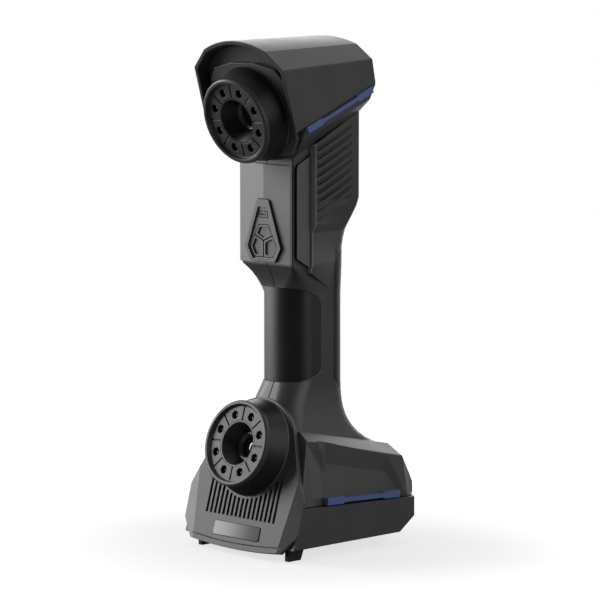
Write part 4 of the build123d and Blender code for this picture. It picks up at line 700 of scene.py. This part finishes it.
class SCANNER_OT_lenses(bpy.types.Operator):
    """Turns the front lenses, each the cap of a ball, and the rounded rings that hold their cells"""

    bl_idname = "scanner.lenses"
    bl_label = "Lenses"

    def execute(self, context):
        sizes, colours = context.scene.scanner_sizes, context.scene.scanner_colours
        coated = glass("lens_coated", colours.lens)
        metal = surface("lens_metal", colours.lens_metal, roughness=0.30, specular=0.5, metallic=0.6)
        dress(paired("lens_barrel"), metal, sizes.fine_edge)
        bow = (sizes.lens_radius ** 2 + sizes.lens_dome ** 2) / (2.0 * sizes.lens_dome)
        swing = np.linspace(0.0, math.asin(sizes.lens_radius / bow), DOME_STEPS)
        crown = sizes.lens_depth + bow * (1.0 - np.cos(swing))
        dome = np.stack([bow * np.sin(swing), crown], axis=1)
        back = crown[-1] + sizes.lens_edge
        lens = np.concatenate([dome, [(sizes.lens_radius, back), (0.0, back)]])
        span = np.linspace(0.0, math.pi, RING_STEPS)
        low = sizes.lens_radius + sizes.ring_inner_gap
        high = sizes.throat_radius - sizes.ring_outer_gap
        middle, half = (low + high) / 2.0, (high - low) / 2.0
        rise = sizes.ring_height * np.sin(span) ** RING_ROUNDNESS
        hoop = np.stack([middle - half * np.cos(span), sizes.cell_depth - rise], axis=1)
        for which in PODS:
            piece = turned(which + "_front_lens", lens, which, closed=False)
            piece.data.materials.append(coated)
            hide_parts(which + "_lens")
            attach(piece, "scanner")
            ring = turned(which + "_lens_ring", hoop, which)
            ring.data.materials.append(metal)
            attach(ring, "scanner")
        return {"FINISHED"}


class SCANNER_OT_base(bpy.types.Operator):
    """Finishes the feet, the screws and the cable socket"""

    bl_idname = "scanner.base"
    bl_label = "Base fittings"

    def execute(self, context):
        sizes, colours = context.scene.scanner_sizes, context.scene.scanner_colours
        rubber = surface("foot_rubber", colours.rubber, roughness=0.6)
        dress(["front_feet", "rear_foot"], rubber, sizes.fine_edge)
        steel = surface("screw_steel", colours.steel, roughness=0.35, specular=0.5, metallic=1.0)
        dress(["base_screws", "case_screws"], steel)
        dress(["cable_socket"], surface("socket_black", colours.chip, roughness=0.42), sizes.fine_edge)
        return {"FINISHED"}


class SCANNER_OT_seals(bpy.types.Operator):
    """Lays rubber seals behind the seam of the base"""

    bl_idname = "scanner.seals"
    bl_label = "Seals"

    def execute(self, context):
        sizes, colours = context.scene.scanner_sizes, context.scene.scanner_colours
        foot, top = sizes.seal_foot, sizes.seal_top
        half, back = sizes.seal_half, sizes.seal_rear
        side, inner = sizes.seal_side, sizes.seal_side - sizes.seal_depth
        runs = ((-sizes.seal_nose, -sizes.seal_boss), (-sizes.seal_front, sizes.seal_end))
        rear = [((-half, back - sizes.seal_depth, foot), (half, back, top))]
        right = [((inner, start, foot), (side, end, top)) for start, end in runs]
        left = [((-side, start, foot), (-inner, end, top)) for start, end in runs]
        piece = blocks("seam_seals", rear + right + left)
        piece.data.materials.append(surface("seal_rubber", colours.rubber, roughness=0.6))
        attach(piece, "scanner")
        return {"FINISHED"}


class SCANNER_OT_inside(bpy.types.Operator):
    """Finishes the inner frame, the boards, the cameras and the fan"""

    bl_idname = "scanner.inside"
    bl_label = "Inside"

    def execute(self, context):
        colours = context.scene.scanner_colours
        metal = surface("frame_aluminium", colours.aluminium, roughness=0.4, specular=0.5, metallic=1.0,
                        stretch=(1.0, 1.0, 0.05))
        dress(["chassis"], metal)
        dress(["main_board"], surface("board_green", colours.board, roughness=0.45))
        dress(["board_chips"] + paired("camera"), surface("chip_black", colours.chip, roughness=0.5))
        dress(["fan_frame", "fan_rotor"], surface("fan_black", colours.chip, roughness=0.45))
        return {"FINISHED"}


class SCANNER_OT_stage(bpy.types.Operator):
    """Sets up the camera, the lamps, the floor and the white surround"""

    bl_idname = "scanner.stage"
    bl_label = "Stage"

    def execute(self, context):
        scene, stage = context.scene, context.scene.scanner_stage
        scene.view_settings.view_transform = "Standard"
        self.camera(scene, stage)
        for which in LAMPS:
            self.lamp(stage, which)
        self.surround(scene, stage)
        self.floor(stage)
        return {"FINISHED"}

    def aim(self, made, place, target):
        """Links an object at a place, its -Z axis towards the target."""
        bpy.context.scene.collection.objects.link(made)
        made.location = place
        made.rotation_euler = (Vector(target) - Vector(place)).to_track_quat("-Z", "Y").to_euler()

    def camera(self, scene, stage):
        """Camera at the photograph's viewing angle."""
        data = bpy.data.cameras.new("studio_camera")
        data.lens = stage.lens
        data.sensor_width = 36.0
        data.clip_end = 100.0
        made = bpy.data.objects.new("studio_camera", data)
        self.aim(made, stage.eye, stage.target)
        scene.camera = made

    def lamp(self, stage, which):
        """One of the soft square lamps."""
        name = which + "_lamp"
        data = bpy.data.lights.new(name, "AREA")
        data.shape = "SQUARE"
        data.size = getattr(stage, which + "_size")
        data.energy = getattr(stage, which + "_power")
        place = getattr(stage, which + "_place")
        self.aim(bpy.data.objects.new(name, data), place, stage.target)

    def surround(self, scene, stage):
        """White as the camera sees it, dim towards the camera's side as gloss sees it, and plain for
        the rest."""
        world = bpy.data.worlds.new("studio_world")
        world.use_nodes = True
        world.node_tree.nodes.clear()
        start = Sock(world.node_tree)
        seen = start.node("ShaderNodeLightPath", output="Is Camera Ray")
        gloss = start.node("ShaderNodeLightPath", output="Is Glossy Ray")
        through = start.node("ShaderNodeLightPath", output="Is Transmission Ray")
        way = start.node("ShaderNodeTexCoord", output="Generated")
        behind = way.node("ShaderNodeVectorMath", {"operation": "DOT_PRODUCT"},
                          {0: way, 1: PAST_OBJECT}, output="Value")
        shown = behind.ramp(*BRIGHTENING, stage.dim_side, 1.0)
        bright = seen.math("MAXIMUM", seen, through)
        level = bright.math("MAXIMUM", bright, gloss * shown)
        level = level.math("MAXIMUM", level, (1.0 - bright) * (1.0 - gloss) * stage.ambient)
        light = start.node("ShaderNodeBackground", None, {"Color": (1, 1, 1, 1), "Strength": level})
        start.node("ShaderNodeOutputWorld", None, {"Surface": light})
        scene.world = world

    def floor(self, stage):
        """Pale floor that turns to the white of the surround away from the object."""
        turn = np.linspace(0.0, 2.0 * math.pi, FLOOR_SIDES, endpoint=False)
        rim = stage.floor_radius * np.stack([np.cos(turn), np.sin(turn), 0.0 * turn], axis=1)
        mesh = bpy.data.meshes.new("floor")
        mesh.from_pydata(rim, [], [list(range(len(rim)))])
        made = linked("floor", mesh)
        finish, start = material("floor_pale")
        place = start.node("ShaderNodeTexCoord", output="Object")
        far = place.node("ShaderNodeVectorMath", {"operation": "LENGTH"}, {0: place}, output="Value")
        drift = place.node("ShaderNodeTexNoise", None, {"Vector": place, "Scale": FLOOR_DRIFT_SCALE})
        seen = start.node("ShaderNodeLightPath", output="Is Camera Ray")
        white = stage.floor_far * stage.floor_radius
        glow = seen * far.ramp(stage.floor_near, white, stage.floor_level, 1.0)
        shader = start.node("ShaderNodeBsdfPrincipled", None, {
            "Base Color": drift.tint(rgba(stage.floor, FLOOR_DRIFT_GAIN), rgba(stage.floor)),
            "Roughness": 0.9,
            "Specular IOR Level": 0.0,
            "Emission Color": glow.tint((0, 0, 0), (1, 1, 1)),
            "Emission Strength": 1.0,
        })
        start.node("ShaderNodeOutputMaterial", None, {"Surface": shader})
        made.data.materials.append(finish)


PIECES = (SCANNER_OT_shell, SCANNER_OT_head, SCANNER_OT_front, SCANNER_OT_keys, SCANNER_OT_grips,
          SCANNER_OT_clips, SCANNER_OT_pods, SCANNER_OT_shields, SCANNER_OT_lenses, SCANNER_OT_base,
          SCANNER_OT_seals, SCANNER_OT_inside, SCANNER_OT_stage)


class SCANNER_PT_looks(bpy.types.Panel):
    """Lists the scanner's settings and steps"""

    bl_idname = "SCANNER_PT_looks"
    bl_label = "Scanner"
    bl_space_type = "VIEW_3D"
    bl_region_type = "UI"
    bl_category = "Scanner"

    def draw(self, context):
        for name in GROUPS:
            group = getattr(context.scene, name)
            box = self.layout.box()
            for key in group.__annotations__:
                box.prop(group, key)
        for step in PIECES:
            self.layout.operator(step.bl_idname)


GROUPS = {
    "scanner_sizes": ScannerSizes,
    "scanner_colours": ScannerColours,
    "scanner_stage": ScannerStage,
}
CLASSES = (*GROUPS.values(), *PIECES, SCANNER_PT_looks)


def register():
    """Makes the classes known and hangs the settings on the scene."""
    for kind in CLASSES:
        bpy.utils.register_class(kind)
    for name, group in GROUPS.items():
        setattr(bpy.types.Scene, name, bpy.props.PointerProperty(type=group))


def unregister():
    """Takes the settings and the classes away again."""
    for name in GROUPS:
        delattr(bpy.types.Scene, name)
    for kind in reversed(CLASSES):
        bpy.utils.unregister_class(kind)


def main():
    """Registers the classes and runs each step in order."""
    register()
    bpy.ops.scanner.shell()
    bpy.ops.scanner.head()
    bpy.ops.scanner.front()
    bpy.ops.scanner.keys()
    bpy.ops.scanner.grips()
    bpy.ops.scanner.clips()
    bpy.ops.scanner.pods()
    bpy.ops.scanner.shields()
    bpy.ops.scanner.lenses()
    bpy.ops.scanner.base()
    bpy.ops.scanner.seals()
    bpy.ops.scanner.inside()
    bpy.ops.scanner.stage()


if __name__ == "__main__":
    main()
